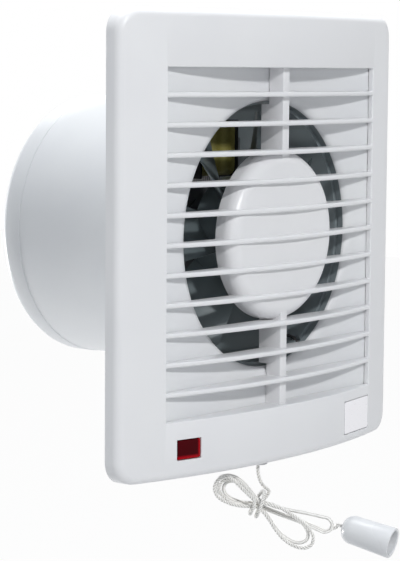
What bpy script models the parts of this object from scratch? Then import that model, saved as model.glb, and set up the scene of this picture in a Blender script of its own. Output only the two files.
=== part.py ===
"""Bathroom exhaust fan for a round duct, with a louvred front cover and a pull cord switch.

The origin is on the duct's axis, in the plane of the wall that the fan is screwed to.
+Z is up, -Y faces the room, +Y runs down the duct. All lengths are metres.
"""
import math

import bmesh
import bpy
from mathutils import Matrix, Vector

mm = 0.001
FIT_GAP = 0.3 * mm
JOIN_DEPTH = 1.0 * mm
CUTTER_PAST = 5.0 * mm
CUTTER_FAR = 100.0 * mm

# Front cover, a convex moulded shell
COVER_SIDE = 158.0 * mm
COVER_DROP = 1.0 * mm
COVER_EDGE_DEPTH = 6.0 * mm
COVER_BULGE = 12.3 * mm
COVER_CORNER = 8.0 * mm
COVER_WALL = 2.0 * mm
COVER_EDGE_ROUND = 2.5 * mm
COVER_REAR_GAP = 0.4 * mm
COVER_STATIONS = 16
COVER_CORNER_STEPS = 4
COVER_ROUND_STEPS = 3

# Louvre window in the cover
WINDOW_WIDTH = 120.0 * mm
WINDOW_HEIGHT = 119.0 * mm
WINDOW_RISE = 0.3 * mm
WINDOW_FRAME_WALL = 1.6 * mm
SLAT_COUNT = 11
SLAT_THICKNESS = 1.7 * mm

# Rib and dome that carry the middle of the slats
RIB_WIDTH = 3.8 * mm
RIB_FRONT = 15.4 * mm
RIB_REAR = 5.8 * mm
RIB_REAR_STEP = 1.2 * mm
DOME_RADIUS = 30.0 * mm
DOME_FRONT = 15.8 * mm
DOME_REAR = 7.7 * mm
DOME_ROUND = 5.0 * mm
DOME_WALL = 1.8 * mm
DOME_SIDES = 48

# Inlet plate, the flat wall behind the slats, with a bell mouth
PLATE_FRONT = 8.9 * mm
PLATE_THICKNESS = 2.0 * mm
PLATE_SIDE_MARGIN = 0.3 * mm
PLATE_END_MARGIN = 2.0 * mm
PLATE_CORNER = 4.0 * mm
BELL_RADIUS = 47.2 * mm
BELL_LIP_REACH = 3.6 * mm
BELL_LIP_DEPTH = 1.9 * mm
BELL_LIP_STEPS = 5
BELL_WALL = 2.5 * mm
BELL_REAR = 4.8 * mm
BELL_SIDES = 60
LEG_RADIUS = 3.0 * mm
LEG_INSET = 6.0 * mm

# Duct casing, a square flange with the round spigot
DUCT_RADIUS = 48.0 * mm
DUCT_WALL = 2.0 * mm
DUCT_LENGTH = 68.0 * mm
DUCT_SIDES = 60
FLANGE_THICKNESS = 2.5 * mm
FIXING_HOLE_RADIUS = 2.3 * mm
FIXING_HOLE_INSET = 9.5 * mm
CABLE_HOLE_RADIUS = 6.0 * mm
CABLE_HOLE_X = 52.0 * mm
CABLE_HOLE_RISE = 10.1 * mm
LEAD_NOTCH_WIDTH = 2.6 * mm
LEAD_NOTCH_SINK = 1.7 * mm
LEAD_NOTCH_ANGLE = -60.0

# Rounded ring on the end of the spigot
RING_LENGTH = 9.3 * mm
RING_SWELL = 0.2 * mm
RING_END_ROUND = 3.5 * mm
RING_LIP_ROUND = 1.0 * mm
RING_WALL = 5.5 * mm
RING_SLEEVE_LENGTH = 8.0 * mm
RING_SLEEVE_WALL = 1.4 * mm

# Shaded-pole motor
SHAFT_RADIUS = 2.0 * mm
SHAFT_FRONT = 4.5 * mm
SHAFT_PROUD = 2.0 * mm
STACK_FRONT = 21.3 * mm
STACK_DEPTH = 18.0 * mm
STACK_HALF_WIDTH = 21.0 * mm
STACK_BOTTOM = -20.0 * mm
STACK_TOP = 33.0 * mm
YOKE_HEIGHT = 7.0 * mm
COIL_WINDOW_HALF_WIDTH = 12.0 * mm
COIL_WINDOW_BOTTOM = 16.6 * mm
ROTOR_RADIUS = 12.0 * mm
ROTOR_AIR_GAP = 0.4 * mm
BOBBIN_HALF_LENGTH = 11.0 * mm
BOBBIN_FLANGE = 1.0 * mm
BOBBIN_WALL = 1.0 * mm
COIL_DEPTH = 5.6 * mm
COIL_INSET = 0.6 * mm
COIL_CORNER = 3.0 * mm
PLATE_STRIP_HALF_HEIGHT = 5.0 * mm
PLATE_STRIP_HALF_LENGTH = 20.0 * mm
PLATE_STRIP_THICKNESS = 1.5 * mm
PLATE_STRIP_RISE = 4.5 * mm
PLATE_STRIP_FOOT = 12.0 * mm
PLATE_STRIP_CROWN = 8.5 * mm
BEARING_RADIUS = 5.0 * mm
BEARING_BODY_LENGTH = 3.3 * mm
BEARING_NECK_STEP = 1.5 * mm
BEARING_NECK_PROUD = 1.0 * mm
BEARING_CLEARANCE = 0.15 * mm
MOTOR_SCREW_RADIUS = 1.5 * mm
MOTOR_SCREW_X = 16.0 * mm
MOTOR_SCREW_HEAD_RADIUS = 2.8 * mm
MOTOR_SCREW_HEAD_HEIGHT = 1.6 * mm

# Bracket that holds the motor in the duct
BRACKET_THICKNESS = 3.0 * mm
BRACKET_RING_INNER = 13.3 * mm
BRACKET_RING_OUTER = 17.4 * mm
BRACKET_EAR_HALF_LENGTH = 20.0 * mm
BRACKET_EAR_HALF_HEIGHT = 5.0 * mm
BRACKET_ARM_WIDTH = 7.0 * mm
BRACKET_ARM_ANGLES = (-90.0, 30.0, 150.0)

# Impeller
IMPELLER_TIP_GAP = 2.7 * mm
IMPELLER_HUB_RADIUS = 20.0 * mm
IMPELLER_HUB_FRONT = 2.0 * mm
IMPELLER_HUB_DEPTH = 12.0 * mm
IMPELLER_HUB_WALL = 1.6 * mm
IMPELLER_HUB_CHAMFER = 2.0 * mm
IMPELLER_BOSS_RADIUS = 4.0 * mm
IMPELLER_MIDDLE = 4.5 * mm
BLADE_COUNT = 7
BLADE_START_ANGLE = 20.6
BLADE_ROOT_CHORD = 19.0 * mm
BLADE_TIP_CHORD = 27.0 * mm
BLADE_ROOT_PITCH = 43.0
BLADE_TIP_PITCH = 27.0
BLADE_THICKNESS = 1.5 * mm
BLADE_CAMBER = 1.8 * mm
BLADE_SECTIONS = 5
BLADE_CHORD_STEPS = 5
CLIP_RADIUS = 4.6 * mm
CLIP_THICKNESS = 1.2 * mm

# Bottom strip of the casing: pull switch, lamp and terminals
STRIP_FLOOR = 3.4 * mm
STRIP_GAP = 1.0 * mm
SWITCH_LEFT = -26.0 * mm
SWITCH_RIGHT = -3.0 * mm
SWITCH_HEIGHT = 11.4 * mm
SWITCH_FRONT = 14.7 * mm
SWITCH_WALL = 1.3 * mm
LEVER_THICKNESS = 3.2 * mm
LEVER_HEIGHT = 2.4 * mm
LEVER_PIVOT_X = -19.0 * mm
LEVER_PIVOT_RISE = 4.1 * mm
LEVER_TAIL = 5.0 * mm
LEVER_BOSS_WALL = 1.2 * mm
LEVER_REACH = 12.7 * mm
LEVER_EYE_HALF_LENGTH = 2.6 * mm
PIN_RADIUS = 1.0 * mm
PIN_SEAT = 4.0 * mm
SPRING_RADIUS = 0.85 * mm
SPRING_WIRE_RADIUS = 0.16 * mm
SPRING_TURNS = 5
SPRING_TURN_POINTS = 10
TERMINAL_LEFT = 16.0 * mm
TERMINAL_RIGHT = 40.0 * mm
TERMINAL_HEIGHT = 11.8 * mm
TERMINAL_FRONT = 12.2 * mm
TERMINAL_COUNT = 3
TERMINAL_SCREW_RADIUS = 1.7 * mm
TERMINAL_SCREW_DEPTH = 5.0 * mm
TERMINAL_SCREW_SINK = 0.2 * mm
TERMINAL_SLOT_WIDTH = 0.6 * mm
TERMINAL_SLOT_DEPTH = 0.6 * mm
LENS_X = -50.4 * mm
LENS_RISE = 10.1 * mm
LENS_WIDTH = 10.8 * mm
LENS_HEIGHT = 7.2 * mm
LENS_SINK = 0.25 * mm
LENS_LIP = 1.2 * mm
LENS_LIP_THICKNESS = 0.8 * mm
LAMP_RADIUS = 2.0 * mm
LAMP_LENGTH = 8.0 * mm
LAMP_HOLDER_BASE = 1.6 * mm
LAMP_HOLDER_HEIGHT = 8.0 * mm
LAMP_CHEEK = 1.2 * mm
LAMP_HOLDER_SIDE = 1.4 * mm
LAMP_HOLDER_RIM = 2.4 * mm
BADGE_X = 48.9 * mm
BADGE_RISE = 9.7 * mm
BADGE_WIDTH = 21.8 * mm
BADGE_HEIGHT = 12.6 * mm
BADGE_POCKET = 1.0 * mm
BADGE_THICKNESS = 0.6 * mm
GROMMET_LIP = 1.6 * mm
GROMMET_BORE = 3.2 * mm
GROMMET_LIP_REACH = 1.3 * mm
GROMMET_REAR_GAP = 0.2 * mm
LEAD_RADIUS = 0.6 * mm
LEAD_DROP = 0.5 * mm

# Pull cord
CORD_X = -10.0 * mm
CORD_Y = -12.0 * mm
CORD_RADIUS = 0.62 * mm
GUIDE_RADIUS = 2.3 * mm
GUIDE_LIP_RADIUS = 3.4 * mm
GUIDE_LIP = 0.5 * mm
GUIDE_BORE = 1.1 * mm
EYE_HALF_WIDTH = 0.92 * mm
STOP_KNOT_RADIUS = 1.5 * mm
ROUTE_SPACING = 2.4 * mm
GAP_SPACING = 0.4 * mm
GAP_SKIP = 5.0 * mm

# Hank, as it hangs tied at the waist below the cover
HANK_WAIST_X = -11.0 * mm
HANK_WAIST_Y = -13.0 * mm
HANK_WAIST_DROP = 14.6 * mm
HANK_WAIST_HALF = 1.0 * mm
HANK_WAIST_TILT = -25.0
HANK_LEFT_TILT = -29.0
HANK_LOW_TILT = -36.0
HANK_HIGH_TILT = -17.5
HANK_STEP = 1.92 * mm
HANK_LEFT_DIRECTION = (-0.8, 0.6, 0.0)
HANK_RIGHT_DIRECTION = (0.55, -0.835, 0.0)
HANK_DEPTH_DIRECTION = (0.78, 0.62, 0.0)
HANK_FIRST_TURN = 0.425
HANK_TIP_SHORT = 0.02
HANK_SPACING = 2.4 * mm
LOOP_POINTS = 72
WRAP_POINTS = 40
WRAP_STEP = 2.4 * mm
WRAP_HALF_DEPTH = 6.25 * mm
WRAP_HALF_HEIGHT = 4.6 * mm
WRAP_SHIFT = 0.2 * mm
WRAP_FIRST_TURN = 0.2
WRAP_LAST_TURN = 1.79

# Lengths and fatness of the hank's wide lobes, and lengths and half widths of its folds
HANK_LEFT_LOBES = ((17.8 * mm, 0.66), (16.0 * mm, 0.60), (14.2 * mm, 0.58), (17.0 * mm, 0.63))
HANK_LOW_LOBES = ((23.5 * mm, 0.50), (21.4 * mm, 0.48))
HANK_FOLDS = ((27.5 * mm, 2.6 * mm), (28.2 * mm, 2.4 * mm))

# Acorn on the end of the cord
ACORN_TOP_X = 5.6 * mm
ACORN_TOP_Y = -38.2 * mm
ACORN_TOP_DROP = 22.3 * mm
ACORN_AXIS = (0.231, -0.949, -0.215)
ACORN_LENGTH = 19.1 * mm
ACORN_CAP_RADIUS = 5.1 * mm
ACORN_RIM_RADIUS = 5.5 * mm
ACORN_WALL = 1.1 * mm
ACORN_HOLE = 1.0 * mm
ACORN_SHOULDER = 4.2 * mm
ACORN_CROWN = 1.7 * mm
ACORN_KNOT_INSET = 3.4 * mm
END_KNOT_RADIUS = 1.5 * mm

# Values that follow from the sizes above: the cover is as tall as its window and bottom strip need
window_middle = WINDOW_RISE - COVER_DROP
bottom_band = PLATE_END_MARGIN + STRIP_GAP + SWITCH_HEIGHT + STRIP_FLOOR + COVER_WALL
cover_bottom = window_middle - WINDOW_HEIGHT / 2 - bottom_band
cover_half_width = COVER_SIDE / 2
cover_half_height = -COVER_DROP - cover_bottom
cover_arc_radius = (cover_half_width ** 2 + COVER_BULGE ** 2) / (2 * COVER_BULGE)
cover_front_depth = COVER_EDGE_DEPTH + COVER_BULGE
slat_pitch = (WINDOW_HEIGHT + SLAT_THICKNESS) / (SLAT_COUNT + 1)
slat_slot = slat_pitch - SLAT_THICKNESS
grille_rear = PLATE_FRONT + FIT_GAP
plate_rear = PLATE_FRONT - PLATE_THICKNESS
flange_half_width = cover_half_width - COVER_WALL - FIT_GAP
flange_half_height = cover_half_height - COVER_WALL - FIT_GAP
duct_bore = DUCT_RADIUS - DUCT_WALL
impeller_tip_radius = duct_bore - IMPELLER_TIP_GAP
stack_rear = STACK_FRONT + STACK_DEPTH
cavity_floor = FLANGE_THICKNESS + FIT_GAP
strip_top = window_middle - WINDOW_HEIGHT / 2 - PLATE_END_MARGIN - STRIP_GAP
switch_bottom = strip_top - SWITCH_HEIGHT
lever_pivot_z = switch_bottom + LEVER_PIVOT_RISE
terminal_bottom = strip_top - TERMINAL_HEIGHT
lens_z = cover_bottom + LENS_RISE
badge_z = cover_bottom + BADGE_RISE
cable_hole_z = cover_bottom + CABLE_HOLE_RISE
hank_waist = (HANK_WAIST_X, HANK_WAIST_Y, cover_bottom - HANK_WAIST_DROP)
acorn_top = (ACORN_TOP_X, ACORN_TOP_Y, cover_bottom - ACORN_TOP_DROP)


def cover_depth(x):
    """Depth of the cover's front surface in front of the wall at this x."""
    arc_drop = cover_arc_radius - math.sqrt(cover_arc_radius ** 2 - x ** 2)
    return cover_front_depth - arc_drop


def material(name, colour, roughness, metallic=0.0):
    finish = bpy.data.materials.new(name)
    finish.use_nodes = True
    shader = finish.node_tree.nodes["Principled BSDF"]
    shader.inputs["Base Color"].default_value = (*colour, 1.0)
    shader.inputs["Roughness"].default_value = roughness
    shader.inputs["Metallic"].default_value = metallic
    return finish


def add_mesh(name, shape, finish=None):
    """Put a bmesh into a new object and return it."""
    bmesh.ops.recalc_face_normals(shape, faces=shape.faces)
    if shape.calc_volume(signed=True) < 0:
        bmesh.ops.reverse_faces(shape, faces=shape.faces)
    mesh = bpy.data.meshes.new(name)
    shape.to_mesh(mesh)
    shape.free()
    piece = bpy.data.objects.new(name, mesh)
    bpy.context.collection.objects.link(piece)
    if finish:
        mesh.materials.append(material(name, *finish))
    return piece


def shade_round(piece, angle=35.0):
    piece.data.shade_smooth()
    piece.data.set_sharp_from_angle(angle=math.radians(angle))


def set_origin(piece, point):
    """Move the piece's origin to a world point and leave its shape in place."""
    offset = Vector(point)
    piece.data.transform(Matrix.Translation(-offset))
    piece.location = offset


def combine(target, tool, operation):
    """Apply one exact Boolean to the target and remove the tool."""
    modifier = target.modifiers.new("combine", "BOOLEAN")
    modifier.operation = operation
    modifier.solver = "EXACT"
    modifier.object = tool
    bpy.context.view_layer.update()
    depsgraph = bpy.context.evaluated_depsgraph_get()
    result = bpy.data.meshes.new_from_object(target.evaluated_get(depsgraph))
    result.name = target.name
    target.modifiers.remove(modifier)
    target.data = result
    bpy.data.objects.remove(tool)
    return target


def cut(target, tool):
    return combine(target, tool, "DIFFERENCE")


def join(target, tool):
    return combine(target, tool, "UNION")


def paint(piece, finish):
    """Give the finished piece its one material."""
    piece.data.materials.clear()
    piece.data.materials.append(material(piece.name, *finish))
    return piece


def loft(name, rings, closed=False, finish=None):
    """A solid through rings of points, with flat ends unless the rings close on themselves."""
    shape = bmesh.new()
    rows = []
    for ring in rings:
        rows.append([shape.verts.new(point) for point in ring])
    count = len(rows[0])
    pairs = list(zip(rows[:-1], rows[1:]))
    if closed:
        pairs.append((rows[-1], rows[0]))
    for first, second in pairs:
        for index in range(count):
            after = (index + 1) % count
            shape.faces.new((first[index], first[after], second[after], second[index]))
    if not closed:
        shape.faces.new(rows[0])
        shape.faces.new(list(reversed(rows[-1])))
    return add_mesh(name, shape, finish)


def prism(name, outline, axis, low, high, finish=None):
    """A flat outline drawn out along X, Y or Z; outline points are the other two coordinates."""
    spot = "xyz".index(axis)
    rings = []
    for level in (low, high):
        rings.append([(*point[:spot], level, *point[spot:]) for point in outline])
    return loft(name, rings, finish=finish)


def box(name, low, high, finish=None):
    outline = [(low[0], low[1]), (high[0], low[1]), (high[0], high[1]), (low[0], high[1])]
    return prism(name, outline, "z", low[2], high[2], finish)


def rounded_rectangle(half_width, half_height, corner, steps=4, middle=(0.0, 0.0)):
    points = []
    for quarter in range(4):
        sign_a = 1 if quarter in (0, 3) else -1
        sign_b = 1 if quarter in (0, 1) else -1
        centre = (middle[0] + sign_a * (half_width - corner), middle[1] + sign_b * (half_height - corner))
        for step in range(steps + 1):
            angle = math.radians(90.0 * (quarter + step / steps))
            points.append((centre[0] + corner * math.cos(angle), centre[1] + corner * math.sin(angle)))
    return points


def circle(radius, sides, middle=(0.0, 0.0)):
    turns = [2 * math.pi * (step + 0.5) / sides for step in range(sides)]
    return [(middle[0] + radius * math.cos(turn), middle[1] + radius * math.sin(turn)) for turn in turns]


def rod(name, radius, axis, middle, low, high, sides=20, finish=None):
    """A round bar along X, Y or Z; middle holds its other two coordinates."""
    return prism(name, circle(radius, sides, middle), axis, low, high, finish)


def turned(name, profile, sides, finish=None, middle=(0.0, 0.0)):
    """A closed ring profile of (radius, y) points turned about a line along Y."""
    rings = []
    for step in range(sides):
        angle = 2 * math.pi * (step + 0.5) / sides
        across = math.cos(angle)
        up = math.sin(angle)
        rings.append([(middle[0] + radius * across, y, middle[1] + radius * up) for radius, y in profile])
    return loft(name, rings, closed=True, finish=finish)


def turned_solid(name, profile, sides, finish=None):
    """A turned solid about the Y axis whose profile starts and ends at a flat round face."""
    rings = []
    for radius, y in profile:
        rings.append([(x, y, z) for x, z in circle(radius, sides)])
    return loft(name, rings, finish=finish)


def arc(middle, radius, start, end, steps):
    points = []
    for step in range(steps + 1):
        angle = math.radians(start + (end - start) * step / steps)
        points.append((middle[0] + radius * math.cos(angle), middle[1] + radius * math.sin(angle)))
    return points


def smooth_route(points, spacing):
    """Even points on a smooth curve through a route's own points."""
    route = [Vector(point) for point in points]
    route = [2 * route[0] - route[1]] + route + [2 * route[-1] - route[-2]]
    fine = []
    steps = 24
    for index in range(1, len(route) - 2):
        before, start, end, after = route[index - 1:index + 3]
        for step in range(steps):
            t = step / steps
            bend = 2 * before - 5 * start + 4 * end - after
            twist = 3 * start - before - 3 * end + after
            fine.append(0.5 * (2 * start + (end - before) * t + bend * t * t + twist * t * t * t))
    fine.append(route[-2])
    return even_points(fine, spacing)


def even_points(fine, spacing):
    """The same line, with its points a steady distance apart."""
    length = sum((b - a).length for a, b in zip(fine, fine[1:]))
    count = max(2, round(length / spacing))
    step = length / count
    points = [fine[0].copy()]
    walked = 0.0
    target = step
    for first, second in zip(fine, fine[1:]):
        piece = (second - first).length
        while piece > 0 and walked + piece >= target - 1e-9 and len(points) < count:
            points.append(first.lerp(second, (target - walked) / piece))
            target += step
        walked += piece
    points.append(fine[-1].copy())
    return points


def tube(name, points, radius, finish, resolution=2):
    """A round tube with filled ends along a line of points."""
    curve = bpy.data.curves.new(name, "CURVE")
    curve.dimensions = "3D"
    curve.bevel_depth = radius
    curve.bevel_resolution = resolution
    curve.use_fill_caps = True
    spline = curve.splines.new("POLY")
    spline.points.add(len(points) - 1)
    for target, point in zip(spline.points, points):
        target.co = (*point, 1.0)
    piece = bpy.data.objects.new(name, curve)
    bpy.context.collection.objects.link(piece)
    curve.materials.append(material(name, *finish))
    return piece


# Finishes: colour, roughness, metallic
WHITE_PLASTIC = ((0.80, 0.80, 0.81), 0.35)
PALE_PLASTIC = ((0.74, 0.76, 0.78), 0.4)
DARK_PLASTIC = ((0.05, 0.06, 0.065), 0.45)
BLACK_PLASTIC = ((0.03, 0.03, 0.03), 0.5)
GREY_RUBBER = ((0.12, 0.12, 0.12), 0.8)
STEEL = ((0.55, 0.56, 0.58), 0.35, 1.0)
LAMINATION = ((0.30, 0.30, 0.32), 0.5, 0.9)
BRASS = ((0.75, 0.58, 0.28), 0.35, 1.0)
BRONZE = ((0.55, 0.38, 0.22), 0.4, 1.0)
COIL_TAPE = ((0.42, 0.38, 0.12), 0.5)
RED_LENS = ((0.45, 0.01, 0.03), 0.15)
LAMP_GLASS = ((0.9, 0.55, 0.4), 0.1)
BADGE_SILVER = ((0.68, 0.68, 0.72), 0.3)
CORD_WHITE = ((0.86, 0.84, 0.80), 0.8)
ACORN_WHITE = ((0.78, 0.79, 0.80), 0.35)


def cover_outline(inset):
    """The cover's rounded square, with its top and bottom points at the same places along x."""
    half = cover_half_height - inset
    corner = COVER_CORNER - inset
    straight = cover_half_width - COVER_CORNER
    top = []
    for step in range(COVER_CORNER_STEPS):
        angle = math.radians(180.0 - 90.0 * step / COVER_CORNER_STEPS)
        top.append((-straight + corner * math.cos(angle), half - corner + corner * math.sin(angle)))
    for step in range(COVER_STATIONS + 1):
        top.append((-straight + 2 * straight * step / COVER_STATIONS, half))
    for step in range(1, COVER_CORNER_STEPS + 1):
        angle = math.radians(90.0 - 90.0 * step / COVER_CORNER_STEPS)
        top.append((straight + corner * math.cos(angle), half - corner + corner * math.sin(angle)))
    return [(x, z - COVER_DROP) for x, z in top] + [(x, -z - COVER_DROP) for x, z in reversed(top)]


def cover_block(name, inset, rear):
    """A solid with the cover's convex front and rounded front edge, set in from the outside."""
    round_radius = COVER_EDGE_ROUND - inset * 0.5
    shape = bmesh.new()
    rows = [[shape.verts.new((x, -rear, z)) for x, z in cover_outline(inset)]]
    for step in range(COVER_ROUND_STEPS + 1):
        angle = math.radians(90.0 * step / COVER_ROUND_STEPS)
        side = round_radius * (1 - math.cos(angle))
        back = round_radius * (1 - math.sin(angle)) + inset
        row = []
        for x, z in cover_outline(inset + side):
            row.append(shape.verts.new((x, back - cover_depth(x), z)))
        rows.append(row)
    count = len(rows[0])
    for first, second in zip(rows[:-1], rows[1:]):
        for index in range(count):
            after = (index + 1) % count
            shape.faces.new((first[index], first[after], second[after], second[index]))
    shape.faces.new(list(reversed(rows[0])))
    front = rows[-1]
    for index in range(count // 2 - 1):
        shape.faces.new((front[index], front[index + 1], front[count - 2 - index], front[count - 1 - index]))
    return add_mesh(name, shape)


def window_box(name, margin, near, far):
    """A box over the louvre window, grown by a margin, between two depths in front of the wall."""
    half_width = WINDOW_WIDTH / 2 + margin
    half_height = WINDOW_HEIGHT / 2 + margin
    low = (-half_width, -far, window_middle - half_height)
    high = (half_width, -near, window_middle + half_height)
    return box(name, low, high)


def slot_boxes():
    """The twelve gaps between the slats, as one set of cutters."""
    shape = bmesh.new()
    for number in range(SLAT_COUNT + 1):
        top = window_middle + WINDOW_HEIGHT / 2 - number * slat_pitch
        corners = Matrix.Diagonal((WINDOW_WIDTH, CUTTER_FAR, slat_slot, 1.0))
        place = Matrix.Translation((0, 0, top - slat_slot / 2))
        bmesh.ops.create_cube(shape, size=1.0, matrix=place @ corners)
    return add_mesh("slot_cutters", shape)


def surface_frame(x, z):
    """A frame on the cover's front: local -Y points out of the surface."""
    slope = math.asin(x / cover_arc_radius)
    return Matrix.Translation((x, -cover_depth(x), z)) @ Matrix.Rotation(slope, 4, "Z")


def surface_box(name, x, z, width, height, near, far, finish=None):
    """A box set square to the cover's front, between two depths under the surface."""
    piece = box(name, (-width / 2, near, -height / 2), (width / 2, far, height / 2), finish)
    piece.data.transform(surface_frame(x, z))
    return piece


def dome():
    """The hollow round cap in the middle of the window, open at its back."""
    middle = (DOME_RADIUS - DOME_ROUND, -DOME_FRONT + DOME_ROUND)
    outside = arc(middle, DOME_ROUND, -90.0, 0.0, 5) + [(DOME_RADIUS, -DOME_REAR)]
    inside = arc(middle, DOME_ROUND - DOME_WALL, -90.0, 0.0, 3)
    inside.append((DOME_RADIUS - DOME_WALL, CUTTER_PAST - DOME_REAR))
    return cut(turned_solid("dome", outside, DOME_SIDES), turned_solid("hollow", inside, DOME_SIDES))


def rib():
    """The upright behind the slats, deeper across the inlet than beside it."""
    half = WINDOW_HEIGHT / 2 + WINDOW_FRAME_WALL / 2
    top = window_middle + half
    bottom = window_middle - half
    reach = BELL_RADIUS - RIB_REAR_STEP
    outline = [(-RIB_FRONT, top), (-RIB_FRONT, bottom), (-grille_rear, bottom),
               (-grille_rear, -reach), (-RIB_REAR, RIB_REAR_STEP - reach),
               (-RIB_REAR, reach - RIB_REAR_STEP), (-grille_rear, reach), (-grille_rear, top)]
    return prism("rib", outline, "x", -RIB_WIDTH / 2, RIB_WIDTH / 2)


def front_cover():
    cover = cover_block("front_cover", 0.0, COVER_REAR_GAP)
    cavity = cover_block("cavity", COVER_WALL, -CUTTER_PAST)
    grille = window_box("grille", WINDOW_FRAME_WALL, grille_rear, CUTTER_FAR)
    cut(cavity, grille)
    cut(cover, cavity)
    cut(cover, slot_boxes())
    middle_support = join(rib(), dome())
    join(cover, middle_support)
    lens_hole = surface_box("lens_hole", LENS_X, lens_z, LENS_WIDTH, LENS_HEIGHT, -CUTTER_PAST, CUTTER_PAST)
    cut(cover, lens_hole)
    badge_size = (BADGE_WIDTH, BADGE_HEIGHT)
    cut(cover, surface_box("badge_pocket", BADGE_X, badge_z, *badge_size, -CUTTER_PAST, BADGE_POCKET))
    low = cover_bottom - CUTTER_PAST
    high = cover_bottom + CUTTER_PAST
    cut(cover, rod("cord_hole", GUIDE_RADIUS + FIT_GAP, "z", (CORD_X, CORD_Y), low, high, 16))
    shade_round(cover)
    return paint(cover, WHITE_PLASTIC)


def inlet_plate():
    half_width = WINDOW_WIDTH / 2 + PLATE_SIDE_MARGIN
    half_height = WINDOW_HEIGHT / 2 + PLATE_END_MARGIN
    middle = (0.0, window_middle)
    outline = rounded_rectangle(half_width, half_height, PLATE_CORNER, 3, middle)
    plate = prism("inlet_plate", outline, "y", -PLATE_FRONT, -plate_rear)
    collar_radius = BELL_RADIUS + BELL_WALL
    collar_front = JOIN_DEPTH - PLATE_FRONT
    join(plate, rod("collar", collar_radius, "y", (0.0, 0.0), collar_front, -BELL_REAR, BELL_SIDES))
    leg_x = half_width - LEG_INSET
    leg_z = half_height - LEG_INSET
    for side in (-1, 1):
        for end in (-1, 1):
            place = (side * leg_x, window_middle + end * leg_z)
            join(plate, rod("leg", LEG_RADIUS, "y", place, JOIN_DEPTH - PLATE_FRONT, -cavity_floor, 12))
    rings = [(BELL_RADIUS + BELL_LIP_REACH, -PLATE_FRONT - CUTTER_PAST)]
    for step in range(BELL_LIP_STEPS + 1):
        angle = math.pi / 2 * step / BELL_LIP_STEPS
        reach = BELL_LIP_REACH * (1 - math.sin(angle))
        rings.append((BELL_RADIUS + reach, BELL_LIP_DEPTH * (1 - math.cos(angle)) - PLATE_FRONT))
    rings.append((BELL_RADIUS, 0.0))
    cut(plate, turned_solid("trumpet", rings, BELL_SIDES))
    shade_round(plate)
    return paint(plate, WHITE_PLASTIC)


def duct_casing():
    corner = COVER_CORNER - COVER_WALL
    flange = rounded_rectangle(flange_half_width, flange_half_height, corner, 3, (0.0, -COVER_DROP))
    casing = prism("duct_casing", flange, "y", -FLANGE_THICKNESS, 0.0)
    tube_front = -(BELL_REAR - FIT_GAP)
    join(casing, rod("spigot", DUCT_RADIUS, "y", (0.0, 0.0), tube_front, DUCT_LENGTH, DUCT_SIDES))
    cut(casing, rod("bore", duct_bore, "y", (0.0, 0.0), -CUTTER_FAR, CUTTER_FAR, DUCT_SIDES))
    reach_x = flange_half_width - FIXING_HOLE_INSET
    reach_z = flange_half_height - FIXING_HOLE_INSET
    for side in (-1, 1):
        for end in (-1, 1):
            place = (side * reach_x, end * reach_z - COVER_DROP)
            cut(casing, rod("fixing", FIXING_HOLE_RADIUS, "y", place, -CUTTER_PAST, CUTTER_PAST, 12))
    cable_place = (CABLE_HOLE_X, cable_hole_z)
    cut(casing, rod("cable", CABLE_HOLE_RADIUS, "y", cable_place, -CUTTER_PAST, CUTTER_PAST, 20))
    half = LEAD_NOTCH_WIDTH / 2
    floor = -FLANGE_THICKNESS + LEAD_NOTCH_SINK
    low = (duct_bore - CUTTER_PAST, tube_front - CUTTER_PAST, -half)
    high = (DUCT_RADIUS + JOIN_DEPTH, floor, half)
    notch = box("notch", low, high)
    notch.data.transform(Matrix.Rotation(-math.radians(LEAD_NOTCH_ANGLE), 4, "Y"))
    cut(casing, notch)
    shade_round(casing)
    return paint(casing, WHITE_PLASTIC)


def outlet_ring():
    """The rounded collar on the spigot's end, with a sleeve that sits in the bore."""
    near = DUCT_LENGTH + FIT_GAP
    far = near + RING_LENGTH
    outer = DUCT_RADIUS + RING_SWELL
    sleeve = duct_bore - FIT_GAP
    profile = [(sleeve, near - RING_SLEEVE_LENGTH), (sleeve, near), (outer, near)]
    profile += arc((outer - RING_END_ROUND, far - RING_END_ROUND), RING_END_ROUND, 0.0, 90.0, 5)
    inner = outer - RING_WALL
    profile += arc((inner + RING_LIP_ROUND, far - RING_LIP_ROUND), RING_LIP_ROUND, 90.0, 180.0, 2)
    profile += [(sleeve - RING_SLEEVE_WALL, near - RING_SLEEVE_LENGTH)]
    return turned("outlet_ring", profile, DUCT_SIDES, WHITE_PLASTIC)


def motor_bracket():
    near = stack_rear + 2 * FIT_GAP + PLATE_STRIP_THICKNESS
    far = near + BRACKET_THICKNESS
    bracket = rod("motor_bracket", BRACKET_RING_OUTER, "y", (0.0, 0.0), near, far, 32)
    low = (-BRACKET_EAR_HALF_LENGTH, near, -BRACKET_EAR_HALF_HEIGHT)
    high = (BRACKET_EAR_HALF_LENGTH, far, BRACKET_EAR_HALF_HEIGHT)
    join(bracket, box("ears", low, high))
    half = BRACKET_ARM_WIDTH / 2
    reach = math.sqrt((duct_bore - FIT_GAP) ** 2 - half ** 2)
    for angle in BRACKET_ARM_ANGLES:
        arm = box("arm", (BRACKET_RING_INNER + JOIN_DEPTH, near, -half), (reach, far, half))
        arm.data.transform(Matrix.Rotation(-math.radians(angle), 4, "Y"))
        join(bracket, arm)
    low = near - CUTTER_PAST
    high = far + CUTTER_PAST
    cut(bracket, rod("opening", BRACKET_RING_INNER, "y", (0.0, 0.0), low, high, 32))
    for side in (-1, 1):
        place = (side * MOTOR_SCREW_X, 0.0)
        cut(bracket, rod("hole", MOTOR_SCREW_RADIUS + FIT_GAP, "y", place, low, high, 12))
    return paint(bracket, WHITE_PLASTIC)


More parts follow.
